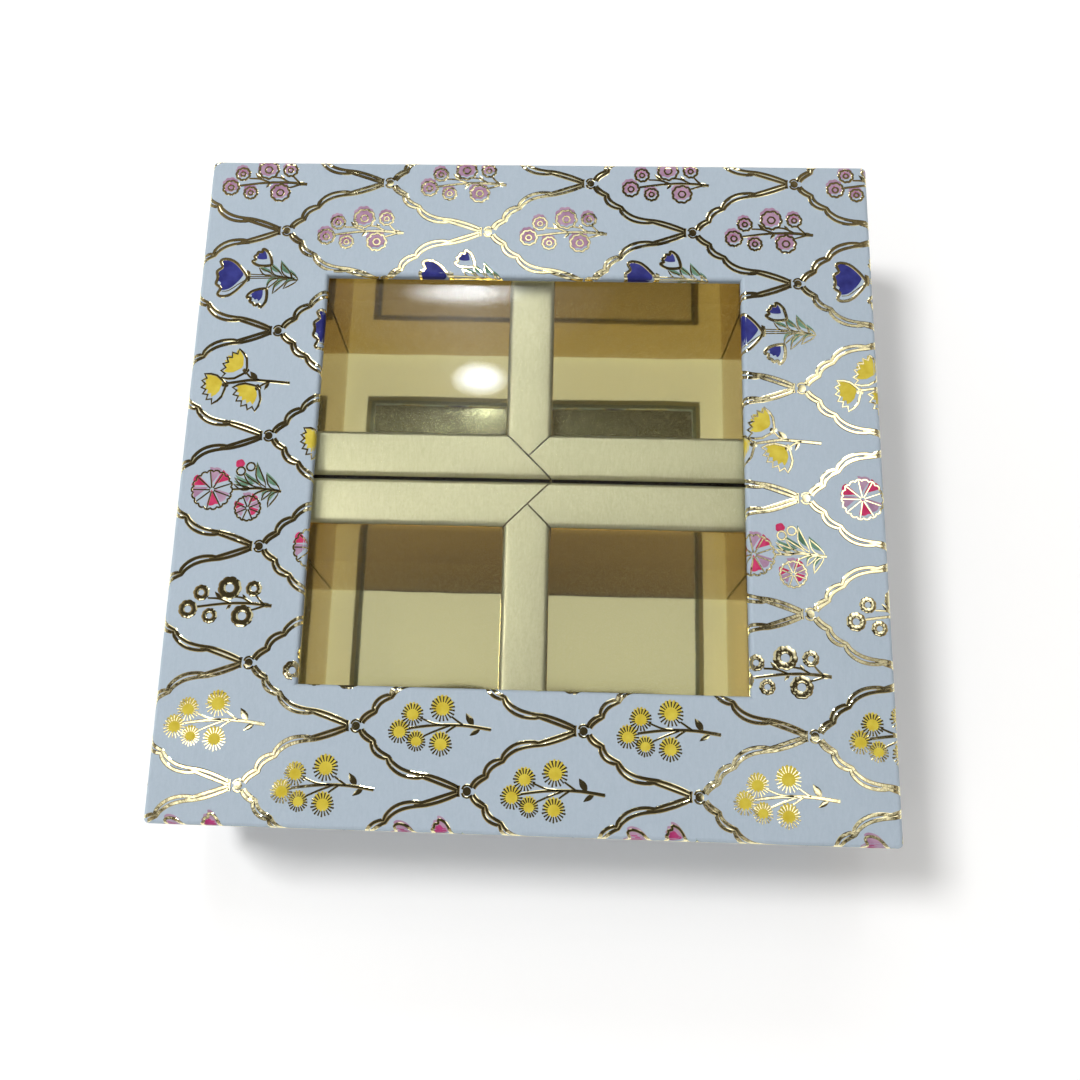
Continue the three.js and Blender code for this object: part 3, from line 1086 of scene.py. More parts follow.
@dataclass
class Trellis:
    """Scalloped double bands that leave each knot to the right and run into the next row's knots."""

    cusps: tuple[complex, ...] = (1.8 + 0.9j, 5.3 + 4.0j, 9.6 + 8.3j, 19.4 + 13.0j, 28.9 + 16.25j)
    bulges: tuple[float, ...] = (0.5, 1.15, 1.75, -0.2)
    gaps: tuple[float, ...] = (0.56, 0.7, 0.76, 0.6)
    pinch: float = 0.4
    width: float = 1.06

    def band(self) -> tuple[np.ndarray, np.ndarray]:
        """Draws the middle of the upper band.

        Returns:
            Points of the middle line, and half the gap between the two strokes at each.
        """
        line, gap = [], []
        for start, end, bulge, spread in zip(self.cusps, self.cusps[1:], self.bulges, self.gaps):
            t = np.linspace(0, 1, 11)[:-1]
            side = 1j * (end - start) / abs(end - start)
            line.append(start + (end - start) * t + side * bulge * np.sin(np.pi * t**0.85) ** 0.85)
            gap.append(self.pinch + (spread - self.pinch) * np.sin(np.pi * t) ** 0.7)
        return np.append(np.concatenate(line), self.cusps[-1]), np.append(np.concatenate(gap), self.pinch)

    def art(self) -> FlatArt:
        """Draws both bands, the collar and the bead of one knot.

        Returns:
            The drawing.
        """
        art = FlatArt()
        line, gap = self.band()
        way = np.gradient(line)
        side = 1j * way / np.abs(way)
        collar = np.array([-2.0 - 1.5j, -2.0 - 0.6j, -2.0 + 0.6j, -2.0 + 1.5j])
        brow = smooth_line((-1.0 + 0.5j, -0.5 + 1.35j, 0.6 + 1.65j, 1.8 + 0.95j), 4)
        node = leaf(16.8 + 12.55j, 22.0 + 13.9j, 1.3)
        for mirror in (False, True):
            for path in (line - gap * side, line + gap * side, brow):
                art.stroke(np.conj(path) if mirror else path, 0.62 if path is brow else self.width)
            art.fill(np.conj(node)[::-1] if mirror else node, 0.07)
        art.stroke(collar, np.array([1.15, 0.85, 0.85, 1.15]))
        art.fill(0.35 + 1.15 * lobes(1.0, 4, 0.0).real + 1.2j * lobes(1.0, 4, 0.0).imag, 0.042)
        return art


@dataclass(frozen=True)
class LidSurface:
    """Outer face of the lid paper, and how flat print folds round it."""

    half: float = 101.5
    top: float = 56.85
    skirt_bottom: float = 24.85
    window_half: float = 62.25
    rounding: float = 1.5
    relief: float = 0.18
    window_drop: float = 0.9
    hem: float = 0.5
    arc_cuts: int = 4

    @property
    def radius(self) -> float:
        """Radius of the paper over a rounded edge."""
        return self.rounding - self.relief

    @property
    def quarter(self) -> float:
        """Length of paper over a rounded edge."""
        return self.radius * math.pi / 2

    @property
    def outer(self) -> float:
        """Where the flat top ends at the lid's sides."""
        return self.half - self.rounding

    @property
    def inner(self) -> float:
        """Where the flat top ends at the window."""
        return self.window_half + self.rounding

    @property
    def skirt_end(self) -> float:
        """Where the print ends at the skirt's lower edge, on the flat sheet."""
        return self.outer + self.quarter + self.top - self.rounding - self.skirt_bottom - self.hem

    @property
    def window_end(self) -> float:
        """Where the print ends inside the window, on the flat sheet."""
        return self.inner - self.quarter - self.window_drop

    def cuts(self) -> list[float]:
        """Returns where print is cut so that it bends cleanly, as distances from the middle."""
        steps = np.arange(self.arc_cuts + 1) / self.arc_cuts * self.quarter
        return [*(self.outer + steps), self.skirt_end, *(self.inner - steps), self.window_end]

    def keeps(self, middles: np.ndarray) -> np.ndarray:
        """Tells which faces lie on the paper.

        Args:
            middles: Middle of each face on the flat sheet.

        Returns:
            True for each face that stays.
        """
        reach = np.abs(middles[:, :2])
        far, near = reach.max(axis=1), reach.min(axis=1)
        frame_part = (far <= self.skirt_end) & (near <= self.outer) & (far >= self.inner)
        turn_in = (far < self.inner) & (far > self.window_end) & (near < self.window_end)
        return frame_part | turn_in

    def fold(self, points: np.ndarray) -> np.ndarray:
        """Folds flat print round the lid.

        Args:
            points: Points on the flat sheet, with their height.

        Returns:
            Points on the lid.
        """
        top = self.top - self.relief
        folded = points.copy()
        folded[:, 2] = top + points[:, 2]
        lift = self.radius + points[:, 2]
        reach = np.abs(points[:, :2])
        for axis in (0, 1):
            sign = np.sign(points[:, axis])
            mine, other = reach[:, axis], reach[:, 1 - axis]
            for run, start, way in ((mine - self.outer, self.outer, 1), (self.inner - mine, self.inner, -1)):
                bent = run > 0
                if way < 0:
                    bent &= (other <= mine)
                angle = np.clip(run / self.radius, 0, math.pi / 2)
                drop = np.clip(run - self.quarter, 0, None)
                folded[bent, axis] = (sign * (start + way * lift * np.sin(angle)))[bent]
                folded[bent, 2] = (top - self.radius + lift * np.cos(angle) - drop)[bent]
        return folded


@dataclass
class LidPrint:
    """Foil and inks of the lid, repeated on a half-drop lattice and folded over the paper."""

    pitch: float = 62.17
    row_pitch: float = 16.773
    first: tuple[float, float] = (-200.9, -157.2)
    skew: float = 0.0067
    columns: int = 6
    rows: int = 19
    crease: float = 11.0
    cut_weld: float = 1e-5
    weld: float = 1e-7
    surface: LidSurface = field(default_factory=LidSurface)

    @staticmethod
    def lattice_tree() -> bpy.types.NodeTree:
        """Builds the tree that repeats drawings on the lattice.

        Returns:
            The tree. Its input Drawings is a collection with one drawing for each pair of rows in turn.
        """
        made = bpy.data.node_groups.get("print_lattice")
        if made:
            return made
        sockets = {
            "Geometry": "NodeSocketGeometry", "Drawings": "NodeSocketCollection", "Kinds": "NodeSocketInt",
            "Columns": "NodeSocketInt", "Rows": "NodeSocketInt", "Pitch": "NodeSocketFloat",
            "Row Pitch": "NodeSocketFloat", "First": "NodeSocketVector", "Finish": "NodeSocketMaterial",
        }
        tree = new_group("print_lattice", "GeometryNodeTree", sockets, {"Geometry": "NodeSocketGeometry"})
        graph = Graph(tree)
        given = graph.add("NodeGroupInput").outputs
        wide = graph.math("MULTIPLY", graph.math("SUBTRACT", given["Columns"], 1.0), given["Pitch"])
        high = graph.math("MULTIPLY", graph.math("SUBTRACT", given["Rows"], 1.0), given["Row Pitch"])
        extent = {"Size X": wide, "Size Y": high, "Vertices X": given["Columns"], "Vertices Y": given["Rows"]}
        grid = graph.add("GeometryNodeMeshGrid", extent)
        place = graph.add("ShaderNodeSeparateXYZ", {0: graph.add("GeometryNodeInputPosition").outputs[0]}).outputs
        height = graph.math("ADD", place[1], graph.math("MULTIPLY", high, 0.5))
        row = graph.math("ROUND", graph.math("DIVIDE", height, given["Row Pitch"]))
        odd = graph.math("FLOORED_MODULO", row, 2.0)
        slide = graph.math("MULTIPLY", odd, graph.math("MULTIPLY", given["Pitch"], 0.5))
        start = graph.add("ShaderNodeSeparateXYZ", {0: given["First"]}).outputs
        across = graph.math("ADD", graph.math("ADD", slide, start[0]), graph.math("MULTIPLY", wide, 0.5))
        along = graph.math("ADD", start[1], graph.math("MULTIPLY", high, 0.5))
        shift = graph.add("ShaderNodeCombineXYZ", {0: across, 1: along}).outputs[0]
        pair = graph.math("FLOOR", graph.math("MULTIPLY", graph.math("ADD", row, 0.25), 0.5))
        kind = graph.math("FLOORED_MODULO", pair, given["Kinds"])
        mark = {"Geometry": grid.outputs[0], "Name": "kind", "Value": kind}
        stored = graph.add("GeometryNodeStoreNamedAttribute", mark, data_type="INT")
        moved = graph.add("GeometryNodeSetPosition", {"Geometry": stored.outputs[0], "Offset": shift})
        source = {"Collection": given["Drawings"], "Separate Children": True, "Reset Children": True}
        drawings = graph.add("GeometryNodeCollectionInfo", source)
        number = graph.add("GeometryNodeInputNamedAttribute", {"Name": "kind"}, data_type="INT").outputs[0]
        placed = graph.add("GeometryNodeInstanceOnPoints", {
            "Points": moved.outputs[0], "Instance": drawings.outputs[0],
            "Pick Instance": True, "Instance Index": number,
        })
        real = graph.add("GeometryNodeRealizeInstances", {0: placed.outputs[0]})
        dressed = graph.add("GeometryNodeSetMaterial", {"Geometry": real.outputs[0], "Material": given["Finish"]})
        graph.add("NodeGroupOutput", {0: dressed.outputs[0]})
        return tree

    def repeat(self, name: str, drawings: list[FlatArt], finish: Finish) -> tuple[np.ndarray, list[tuple[int, ...]]]:
        """Repeats drawings on the lattice.

        Args:
            name: Name of the print run.
            drawings: One drawing for each pair of rows in turn.
            finish: Finish of the run.

        Returns:
            Points and faces of the flat print.
        """
        collection = bpy.data.collections.new(f"{name}_drawings")
        bpy.context.scene.collection.children.link(collection)
        for i, art in enumerate(drawings):
            collection.objects.link(bpy.data.objects.new(f"{name}_drawing_{i}", art.mesh(f"{name}_drawing_{i}")))
        holder = bpy.data.objects.new(name, bpy.data.meshes.new(f"{name}_holder"))
        bpy.context.scene.collection.objects.link(holder)
        modifier = holder.modifiers.new("lattice", "NODES")
        tree = self.lattice_tree()
        modifier.node_group = tree
        values = {
            "Drawings": collection, "Kinds": len(drawings), "Columns": self.columns, "Rows": self.rows,
            "Pitch": self.pitch, "Row Pitch": self.row_pitch, "First": (*self.first, 0.0),
            "Finish": finish.material(),
        }
        for item in tree.interface.items_tree:
            if item.in_out == "INPUT" and item.name in values:
                modifier[item.identifier] = values[item.name]
        depsgraph = bpy.context.evaluated_depsgraph_get()
        flat = bpy.data.meshes.new_from_object(holder.evaluated_get(depsgraph), depsgraph=depsgraph)
        points = np.empty(len(flat.vertices) * 3)
        flat.vertices.foreach_get("co", points)
        faces = [tuple(polygon.vertices) for polygon in flat.polygons]
        for drawn in [holder, *collection.objects]:
            bpy.data.objects.remove(drawn)
        bpy.data.collections.remove(collection)
        return points.reshape(-1, 3), faces

    def trim(self, points: np.ndarray, faces: list[tuple[int, ...]]) -> tuple[np.ndarray, list[tuple[int, ...]]]:
        """Cuts flat print at the fold lines and drops what lies off the paper.

        Args:
            points: Points of the flat print.
            faces: Its faces.

        Returns:
            Points and faces that stay.
        """
        cuts = np.array([sign * cut for cut in self.surface.cuts() for sign in (-1, 1)])
        low = np.array([points[list(face), :2].min(axis=0) for face in faces])
        high = np.array([points[list(face), :2].max(axis=0) for face in faces])
        crossing = ((low[:, :, None] < cuts) & (high[:, :, None] > cuts)).any(axis=(1, 2))
        stay = self.surface.keeps((low + high) / 2)
        kept = [face for face, cross, on in zip(faces, crossing, stay) if on and not cross]
        work = bmesh.new()
        made: dict[int, bmesh.types.BMVert] = {}
        for face, cross in zip(faces, crossing):
            if cross:
                corners = [made.get(i) or made.setdefault(i, work.verts.new(points[i])) for i in face]
                if work.faces.get(corners) is None:
                    work.faces.new(corners)
        for axis in (Vector((1, 0, 0)), Vector((0, 1, 0))):
            for cut in cuts:
                whole = work.verts[:] + work.edges[:] + work.faces[:]
                bmesh.ops.bisect_plane(work, geom=whole, dist=self.cut_weld, plane_co=axis * cut, plane_no=axis)
        work.verts.index_update()
        extra = np.array([vert.co[:] for vert in work.verts]).reshape(-1, 3)
        pieces = [[vert.index for vert in face.verts] for face in work.faces]
        work.free()
        if pieces:
            middles = np.array([(extra[piece].min(axis=0) + extra[piece].max(axis=0)) / 2 for piece in pieces])
            on = self.surface.keeps(middles)
            kept += [tuple(i + len(points) for i in piece) for piece, stays in zip(pieces, on) if stays]
        joined = np.vstack([points, extra])
        used = np.unique([i for face in kept for i in face])
        number = np.full(len(joined), -1)
        number[used] = np.arange(len(used))
        return joined[used], [tuple(int(number[i]) for i in face) for face in kept]

    def run(self, name: str, drawings: list[FlatArt], finish: Finish) -> bpy.types.Object:
        """Makes one print run on the lid.

        Args:
            name: Piece name.
            drawings: One drawing for each pair of rows in turn.
            finish: Finish of the run.

        Returns:
            The piece.
        """
        flat, faces = self.repeat(name, drawings, finish)
        flat[:, 1] += self.skew * flat[:, 0]
        points, faces = self.trim(flat, faces)
        mesh = make_mesh(name, self.surface.fold(points), faces)
        work = bmesh.new()
        work.from_mesh(mesh)
        bmesh.ops.remove_doubles(work, verts=work.verts, dist=self.weld)
        work.to_mesh(mesh)
        work.free()
        return show(mesh, Body.LID, finish, self.crease)

    def build(self) -> None:
        """Makes the trellis, the sprigs' foil and each ink."""
        self.run("foil_trellis", [Trellis().art()], Finishes.FOIL)
        sprigs = SprigBook.all()
        self.run("foil_sprigs", [sprig.art[Ink.FOIL] for sprig in sprigs], Finishes.FOIL)
        for ink, finish in Finishes.INKS.items():
            self.run(f"print_{ink.value}", [sprig.art[ink] for sprig in sprigs], finish)


@dataclass
class CardTray:
    """Gold tray folded from one card blank: hollow walls with mitred rims and two compartment floors."""

    node: str
    body: Body
    side: int
    half: float = 94.6
    side_wall: float = 73.35
    divider: float = 13.7
    rim: float = 14.0
    end_rim: float = 13.0
    gap: float = 0.8
    bottom: float = 3.4
    height: float = 47.5
    card: float = 0.5
    fold_round: float = 1.6
    crown: float = 0.15
    seam: float = 0.4
    waviness: float = 0.03
    ripples: tuple[float, float] = (38.0, 95.0)
    short_share: float = 0.4
    rim_depth: float = 1.5
    rim_level: float = 0.4
    rise_steps: int = 8
    fold_steps: int = 8
    top_steps: int = 4
    wall_steps: int = 28
    floor_steps: int = 24
    points: list[tuple[float, float, float]] = field(default_factory=list)
    faces: list[tuple[int, ...]] = field(default_factory=list)

    def section(self, width: float) -> list[tuple[float, float]]:
        """Draws a hollow wall's outer section.

        Args:
            width: Width of the wall.

        Returns:
            Points of across and up, from one foot to the other.
        """
        radius, top = self.fold_round, self.height
        rise = [(0.0, z) for z in np.linspace(0, top - radius, self.rise_steps + 1)[:-1]]
        turns = np.linspace(0, math.pi / 2, self.fold_steps + 1)
        arc = [(radius * (1 - math.cos(turn)), top - radius + radius * math.sin(turn)) for turn in turns]
        flat = [(x, top) for x in np.linspace(radius, width / 2, self.top_steps + 1)[1:]]
        left = rise + arc + flat
        crowned = [(x, z + self.crown * (1 - (2 * x / width - 1) ** 2) * (z > top - radius)) for x, z in left]
        return crowned + [(width - x, z) for x, z in crowned[-2::-1]]

    @staticmethod
    def span(plan: Plan, axis: int, across: float) -> tuple[float, float]:
        """Finds where a line along a wall enters and leaves its plan.

        Args:
            plan: Corners of the wall's plan.
            axis: 0 where the wall runs along X, 1 along Y.
            across: Place of the line across the wall.

        Returns:
            Both ends of the line.
        """
        hits = []
        for one, two in zip(plan, plan[1:] + plan[:1]):
            a, b = one[1 - axis] - across, two[1 - axis] - across
            if a * b < 0:
                hits.append(one[axis] + (two[axis] - one[axis]) * a / (a - b))
        return min(hits), max(hits)

    def add_wall(self, axis: int, one: float, two: float, plan: Plan) -> None:
        """Adds a hollow wall cut to its plan.

        Args:
            axis: 0 where the wall runs along X, 1 along Y.
            one: One face of the wall.
            two: Its other face.
            plan: Corners of its plan.
        """
        low, width = min(one, two), abs(two - one)
        section = self.section(width)
        steps = self.wall_steps
        first = len(self.points)
        cut = self.seam / 2 * math.sqrt(2)
        for across, up in section:
            start, end = self.span(plan, axis, low + min(max(across, 1e-4), width - 1e-4) + 1e-6)
            for along in np.linspace(start + cut, end - cut, steps + 1):
                place = (along, low + across) if axis == 0 else (low + across, along)
                self.points.append((*place, self.bottom + up))
        row = steps + 1
        for j in range(len(section) - 1):
            for i in range(steps):
                a = first + j * row + i
                face = (a, a + row, a + row + 1, a + 1)
                self.faces.append(face[::-1] if axis == 0 else face)

    def add_floor(self, x: int, near: float, far: float) -> None:
        """Adds a compartment floor.

        Args:
            x: -1 for the left compartment, 1 for the right one.
            near: Edge of the floor at the middle of the box.
            far: Its other edge.
        """
        row = self.floor_steps + 1
        xs = np.linspace(*sorted((x * (self.divider / 2 - self.card), x * (self.side_wall + self.card))), row)
        ys = np.linspace(*sorted((near, far)), row)
        first = len(self.points)
        self.points += [(a, b, self.bottom + self.card) for b in ys for a in xs]
        for j in range(self.floor_steps):
            for i in range(self.floor_steps):
                a = first + j * row + i
                self.faces.append((a, a + 1, a + row + 1, a + row))

    def build(self) -> bpy.types.Object:
        """Builds the tray.

        Returns:
            The tray.
        """
        side, half = self.side, self.divider / 2
        near, far = side * self.gap / 2, side * self.half
        rims = [
            (near, near + side * self.rim, near + side * self.rim / 2),
            (far, far - side * self.end_rim, far - side * self.end_rim / 2),
        ]
        (_, fold_one, tip_one), (_, fold_two, tip_two) = rims
        plan = [(-half, fold_one), (0, tip_one), (half, fold_one), (half, fold_two), (0, tip_two), (-half, fold_two)]
        self.add_wall(1, -half, half, plan)
        for x in (-1, 1):
            inner, outer = x * self.side_wall, x * self.half
            self.add_wall(1, inner, outer, [(outer, near), (inner, fold_one), (inner, fold_two), (outer, far)])
            self.add_floor(x, fold_one - side * self.card, fold_two + side * self.card)
        for edge, fold, tip in rims:
            left = [(-self.half, edge), (-self.side_wall, fold), (-half, fold), (half, edge)]
            right = [(self.half, edge), (self.side_wall, fold), (half, fold), (0, tip), (half, edge)]
            for plan in (left, right):
                self.add_wall(0, edge, fold, plan)
        mesh = make_mesh(f"{self.node}_card", np.array(self.points), self.faces)
        self.ripple(mesh)
        holder = bpy.data.objects.new(mesh.name, mesh)
        bpy.context.scene.collection.objects.link(holder)
        wall = holder.modifiers.new("card", "SOLIDIFY")
        wall.thickness, wall.offset = self.card * MM, -1.0
        depsgraph = bpy.context.evaluated_depsgraph_get()
        thick = bpy.data.meshes.new_from_object(holder.evaluated_get(depsgraph), depsgraph=depsgraph)
        bpy.data.objects.remove(holder)
        bpy.data.meshes.remove(mesh)
        thick.name = f"{self.node}_card"
        self.mark(thick)
        return show(thick, self.body, Finishes.GOLD_CARD, CREASE, (self.node,))

    def mark(self, mesh: bpy.types.Mesh) -> None:
        """Marks the upright faces and the rim faces: the card's finish paints shade on both and makes the rims
        rougher.

        Args:
            mesh: The finished card.
        """
        faces = len(mesh.polygons)
        normals, middles = np.zeros(faces * 3), np.zeros(faces * 3)
        mesh.polygons.foreach_get("normal", normals)
        mesh.polygons.foreach_get("center", middles)
        level, height = np.abs(normals[2::3]), middles[2::3]
        # Rim tops: they get the painted dimmer tone and more roughness.
        rim_top = (level > self.rim_level) & (height > height.max() - self.rim_depth * MM)
        marks = {"upright": np.clip(1.2 - 1.5 * level, 0.0, 1.0), "rim": rim_top.astype(float)}
        for name, values in marks.items():
            mesh.attributes.new(name, "FLOAT", "FACE").data.foreach_set("value", values)

    def ripple(self, mesh: bpy.types.Mesh) -> None:
        """Gives the card the slight waves of folded card.

        Args:
            mesh: Mesh whose points move along their normals.
        """
        slow_scale, short_scale = self.ripples
        normals = [vert.normal.copy() for vert in mesh.vertices]
        for vert, normal in zip(mesh.vertices, normals):
            slow = noise.noise(vert.co * slow_scale) + self.short_share * noise.noise(vert.co * short_scale)
            vert.co += normal * slow * self.waviness * MM


@dataclass
class PlainNodes:
    """Nodes that keep their CAD shape."""

    finishes: dict[str, Finish] = field(default_factory=lambda: {
        "lid_board": Finishes.GREYBOARD,
        "base_board": Finishes.GREYBOARD,
        "base_bottom_paper": Finishes.LINING,
        "base_inner_paper": Finishes.LINING,
        "lid_lining": Finishes.LINING,
        "window_film": Finishes.FILM,
    })
    families: dict[str, Finish] = field(default_factory=lambda: {
        "corner_stay": Finishes.KRAFT,
        "film_tape": Finishes.STRIP,
    })

    def dress(self) -> None:
        """Gives each node its finish."""
        for name, node in frame["nodes"].items():
            family = next((look for part, look in self.families.items() if part in name), None)
            finish = self.finishes.get(name, family)
            if finish is None:
                continue
            node.data.materials.clear()
            node.data.materials.append(finish.material())
            LOG.info("%s: CAD shape in %s", name, finish.name)


@dataclass(frozen=True)
class SoftLamp:
    """An area lamp of even brightness."""

    name: str
    place: tuple[float, float, float]
    aim: tuple[float, float, float]
    size: tuple[float, float]
    brightness: float
    colour: tuple[float, float, float] = (1.0, 1.0, 1.0)
    mirrored: bool = True
    fade: float = 0.0

    def add(self) -> bpy.types.Object:
        """Hangs the lamp.

        Returns:
            The lamp.
        """
        data = bpy.data.lights.new(self.name, "AREA")
        data.shape, (data.size, data.size_y) = "RECTANGLE", self.size
        data.energy = self.brightness * math.pi * self.size[0] * self.size[1]
        data.color = self.colour
        lamp = bpy.data.objects.new(self.name, data)
        lamp.location = self.place
        lamp.rotation_euler = (Vector(self.aim) - Vector(self.place)).to_track_quat("-Z", "Y").to_euler()
        lamp.visible_glossy = self.mirrored
        if self.fade:
            self.soften(data)
        bpy.context.scene.collection.objects.link(lamp)
        return lamp

    def soften(self, data: bpy.types.AreaLight) -> None:
        """Lets a lamp fade from its middle to its edges.

        Args:
            data: The lamp.
        """
        data.use_nodes = True
        data.node_tree.nodes.clear()
        graph = Graph(data.node_tree)
        place = graph.add("ShaderNodeNewGeometry").outputs["Parametric"]
        spot = graph.vector("MULTIPLY", graph.vector("SUBTRACT", place, (0.5, 0.5, 0.0))[0], (2.0, 2.0, 0.0))[0]
        level = graph.stretch(graph.vector("LENGTH", spot)["Value"], (1.0, 0.0))
        glow = graph.add("ShaderNodeEmission", {"Strength": graph.math("POWER", level, self.fade)})
        graph.add("ShaderNodeOutputLight", {"Surface": glow.outputs[0]})


@dataclass
class Studio:
    """Camera, pale floor, soft lamps and a bright surround that darkens overhead."""

    eye: tuple[float, float, float] = (3.69, -100.73, 355.19)
    turn: tuple[float, float, float] = (14.125, 1.933, 1.893)
    lens: float = 36.3
    shift: tuple[float, float] = (0.0426, 0.0185)
    lamps: tuple[SoftLamp, ...] = (
        SoftLamp("back_key", (-0.05, 1.4, 1.5), (0.0, 0.0, 0.05), (1.0, 0.3), 4.0),
        SoftLamp("left_key", (-0.87, 0.3, 1.78), (0.0, 0.0, 0.03), (0.4, 0.4), 49.0, mirrored=False),
        SoftLamp("front_left_lamp", (-0.85, -0.6, 1.33), (0.0, 0.0, 0.03), (0.35, 0.35), 3.0, mirrored=False),
        SoftLamp("front_right_lamp", (0.85, -0.6, 1.33), (0.0, 0.0, 0.03), (0.35, 0.35), 2.0, mirrored=False),
        SoftLamp("overhead_panel", (-0.026, 0.25, 1.25), (-0.026, 0.25, 0.0), (0.555, 0.29), 0.58),
        SoftLamp("right_panel", (0.45, 0.4, 1.25), (0.45, 0.4, 0.0), (0.34, 0.6), 3.0, fade=1.0),
        SoftLamp("back_panel", (-0.118, 0.73, 1.25), (-0.118, 0.73, 0.0), (0.48, 0.3), 1.9, fade=0.5),
        SoftLamp("front_panel", (-0.43, -0.01, 1.25), (-0.43, -0.01, 0.0), (0.26, 0.22), 4.0, fade=1.2),
        SoftLamp("front_right_panel", (0.37, -0.03, 1.25), (0.37, -0.03, 0.0), (0.3, 0.15), 2.4, fade=1.0),
        SoftLamp(
            "film_spot", (-0.384, 2.615, 6.0), (-0.384, 2.615, 0.0), (0.38, 0.25), 210.0, (0.88, 0.94, 1.0), fade=1.4,
        ),
        SoftLamp("film_glare", (-0.5, 3.2, 6.0), (-0.5, 3.2, 0.0), (0.9, 0.2), 120.0, (0.92, 0.96, 1.0), fade=1.7),
    )
    bounce: SoftLamp = SoftLamp("bounce_lamp", (0.0, 0.0, -0.5), (0.0, 0.0, 0.05), (1.0, 1.0), 2.3, mirrored=False)
    zenith: tuple[float, float, float] = (0.0, 0.2, 0.98)
    zenith_colour: Colour = (0.045, 0.038, 0.027, 1.0)
    sky_stops: tuple[tuple[float, float, float], ...] = (
        (0.12, 0.7, 0.0), (0.3, 0.2, 0.0), (0.72, 0.2, 0.1), (0.8, 0.5, 0.2),
        (0.85, 0.4, 0.3), (0.895, 0.25, 0.4), (0.935, 0.05, 0.4),
    )
    rear_span: tuple[float, float] = (0.45, 0.6)
    rear_level: float = 0.35
    floor_colour: Colour = (0.92, 0.92, 0.92, 1.0)
    floor_glow: float = 0.1
    floor_span: tuple[float, float] = (0.13, 0.9)
    floor_half: float = 4.0
    floor_drop: float = 0.0003

    def build(self) -> None:
        """Sets up the whole studio."""
        scene = bpy.context.scene
        scene.view_settings.view_transform = "Standard"
        camera = bpy.data.cameras.new("photo_camera")
        camera.lens, camera.sensor_width, camera.clip_start = self.lens, 36.0, 0.01
        camera.shift_x, camera.shift_y = self.shift
        holder = bpy.data.objects.new("photo_camera", camera)
        holder.location = Vector(self.eye) * MM
        holder.rotation_euler = [math.radians(angle) for angle in self.turn]
        scene.collection.objects.link(holder)
        scene.camera = holder
        for lamp in self.lamps:
            lamp.add()
        self.surround()
        self.floor()
        self.light_lining()

    def surround(self) -> None:
        """Makes the world: white at the horizon, darker round a point high up and at the back."""
        world = bpy.data.worlds.new("studio_surround")
        world.use_nodes = True
        world.node_tree.nodes.clear()
        graph = Graph(world.node_tree)
        way = graph.add("ShaderNodeTexCoord").outputs["Generated"]
        ramp = graph.add("ShaderNodeValToRGB", {0: graph.vector("DOT_PRODUCT", way, self.zenith)["Value"]})
        stops = ramp.color_ramp.elements
        stops[0].position, stops[0].color = 0.0, WHITE
        stops[1].position, stops[1].color = 1.0, self.zenith_colour
        for position, level, warm in self.sky_stops:
            stops.new(position).color = (level, level * (1.0 - 0.45 * warm), level * (1.0 - warm), 1.0)
        rear = graph.add("ShaderNodeSeparateXYZ", {0: way}).outputs["Y"]
        strength = graph.stretch(rear, self.rear_span, (1.0, self.rear_level))
        back = graph.add("ShaderNodeBackground", {"Color": ramp.outputs[0], "Strength": strength})
        graph.add("ShaderNodeOutputWorld", {"Surface": back.outputs[0]})
        bpy.context.scene.world = world

    def floor(self) -> None:
        """Lays the pale floor, white in the picture and in what mirrors it, which keeps the box's shadow."""
        material = bpy.data.materials.new("pale_floor")
        material.use_nodes = True
        material.node_tree.nodes.clear()
        graph = Graph(material.node_tree)
        plain = graph.add("ShaderNodeBsdfDiffuse", {"Color": self.floor_colour}).outputs[0]
        path = graph.add("ShaderNodeLightPath").outputs
        mirrored = graph.math("MAXIMUM", path["Is Glossy Ray"], path["Is Transmission Ray"])
        seen = graph.math("MAXIMUM", path["Is Camera Ray"], mirrored)
        far = graph.vector("LENGTH", graph.add("ShaderNodeTexCoord").outputs["Object"])["Value"]
        level = graph.math("MULTIPLY", seen, graph.stretch(far, self.floor_span, (self.floor_glow, 1.0)))
        glow = graph.add("ShaderNodeEmission", {"Color": WHITE, "Strength": level}).outputs[0]
        both = graph.add("ShaderNodeAddShader", {0: plain, 1: glow}).outputs[0]
        graph.add("ShaderNodeOutputMaterial", {"Surface": both})
        mesh = bpy.data.meshes.new("studio_floor")
        reach, low = self.floor_half, -self.floor_drop
        corners = [(-reach, -reach, low), (reach, -reach, low), (reach, reach, low), (-reach, reach, low)]
        mesh.from_pydata(corners, [], [(0, 1, 2, 3)])
        mesh.materials.append(material)
        ground = bpy.data.objects.new("studio_floor", mesh)
        bpy.context.scene.collection.objects.link(ground)

    def light_lining(self) -> None:
        """Hangs the lamp that lights the lid's lining alone and passes everything else."""
        lit = bpy.data.collections.new(f"lit_by_{self.bounce.name}")
        lit.objects.link(bpy.data.objects["lid_lining"])
        hung = self.bounce.add()
        hung.light_linking.receiver_collection = lit
        hung.light_linking.blocker_collection = lit


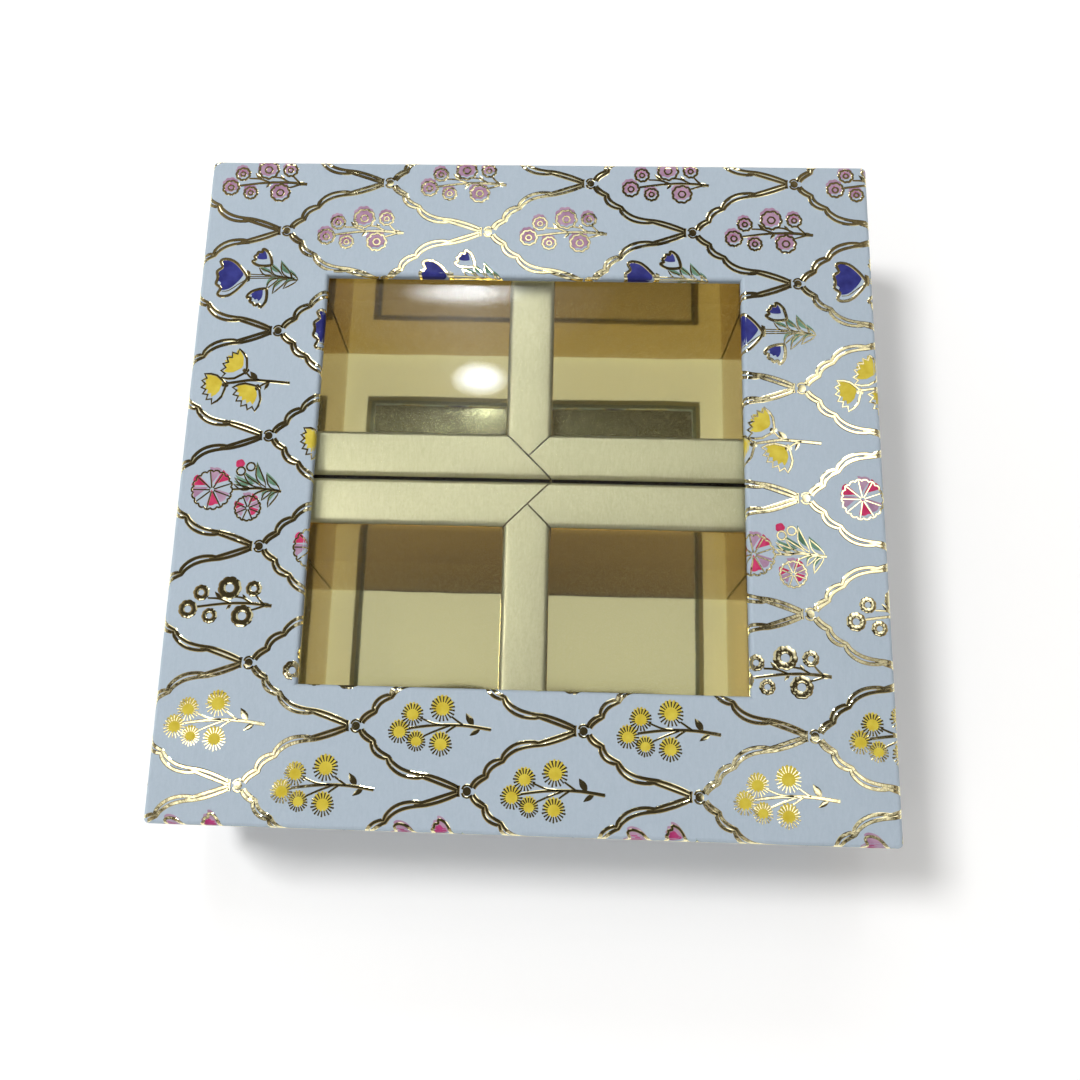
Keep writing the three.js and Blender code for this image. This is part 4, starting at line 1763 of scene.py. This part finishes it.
def main() -> None:
    """Builds the studio and dresses the box, from the base up."""
    logging.basicConfig(level=logging.INFO, format="%(message)s")
    Studio().build()
    PlainNodes().dress()
    PaperWrap("base_paper", "base_wrap", Body.BASE, Slot.WRAP_PAPER, Finishes.BASE_PAPER, 98.0, [
        (95.5, 37.7, 0.0), (95.5, 52.2, 0.0), (97.5, 52.2, 0.0), (97.5, 0.8, 1.0), (82.5, 0.8, 0.0),
    ], far=0.5).build()
    CardTray("back_tray", Body.BACK_TRAY, 1).build()
    CardTray("front_tray", Body.FRONT_TRAY, -1).build()
    PaperWrap("lid_paper", "lid_wrap", Body.LID, Slot.PRINTED_PAPER, Finishes.LID_PAPER, 101.5, [
        (77.25, 54.35, 0.0), (62.75, 54.35, 0.0), (62.75, 56.35, 1.0), (101.0, 56.35, 1.0),
        (101.0, 25.35, 0.0), (99.0, 25.35, 0.0), (99.0, 39.85, 0.0),
    ], near=0.12, far=0.32).build()
    LidPrint().build()


if __name__ == "__main__":
    main()
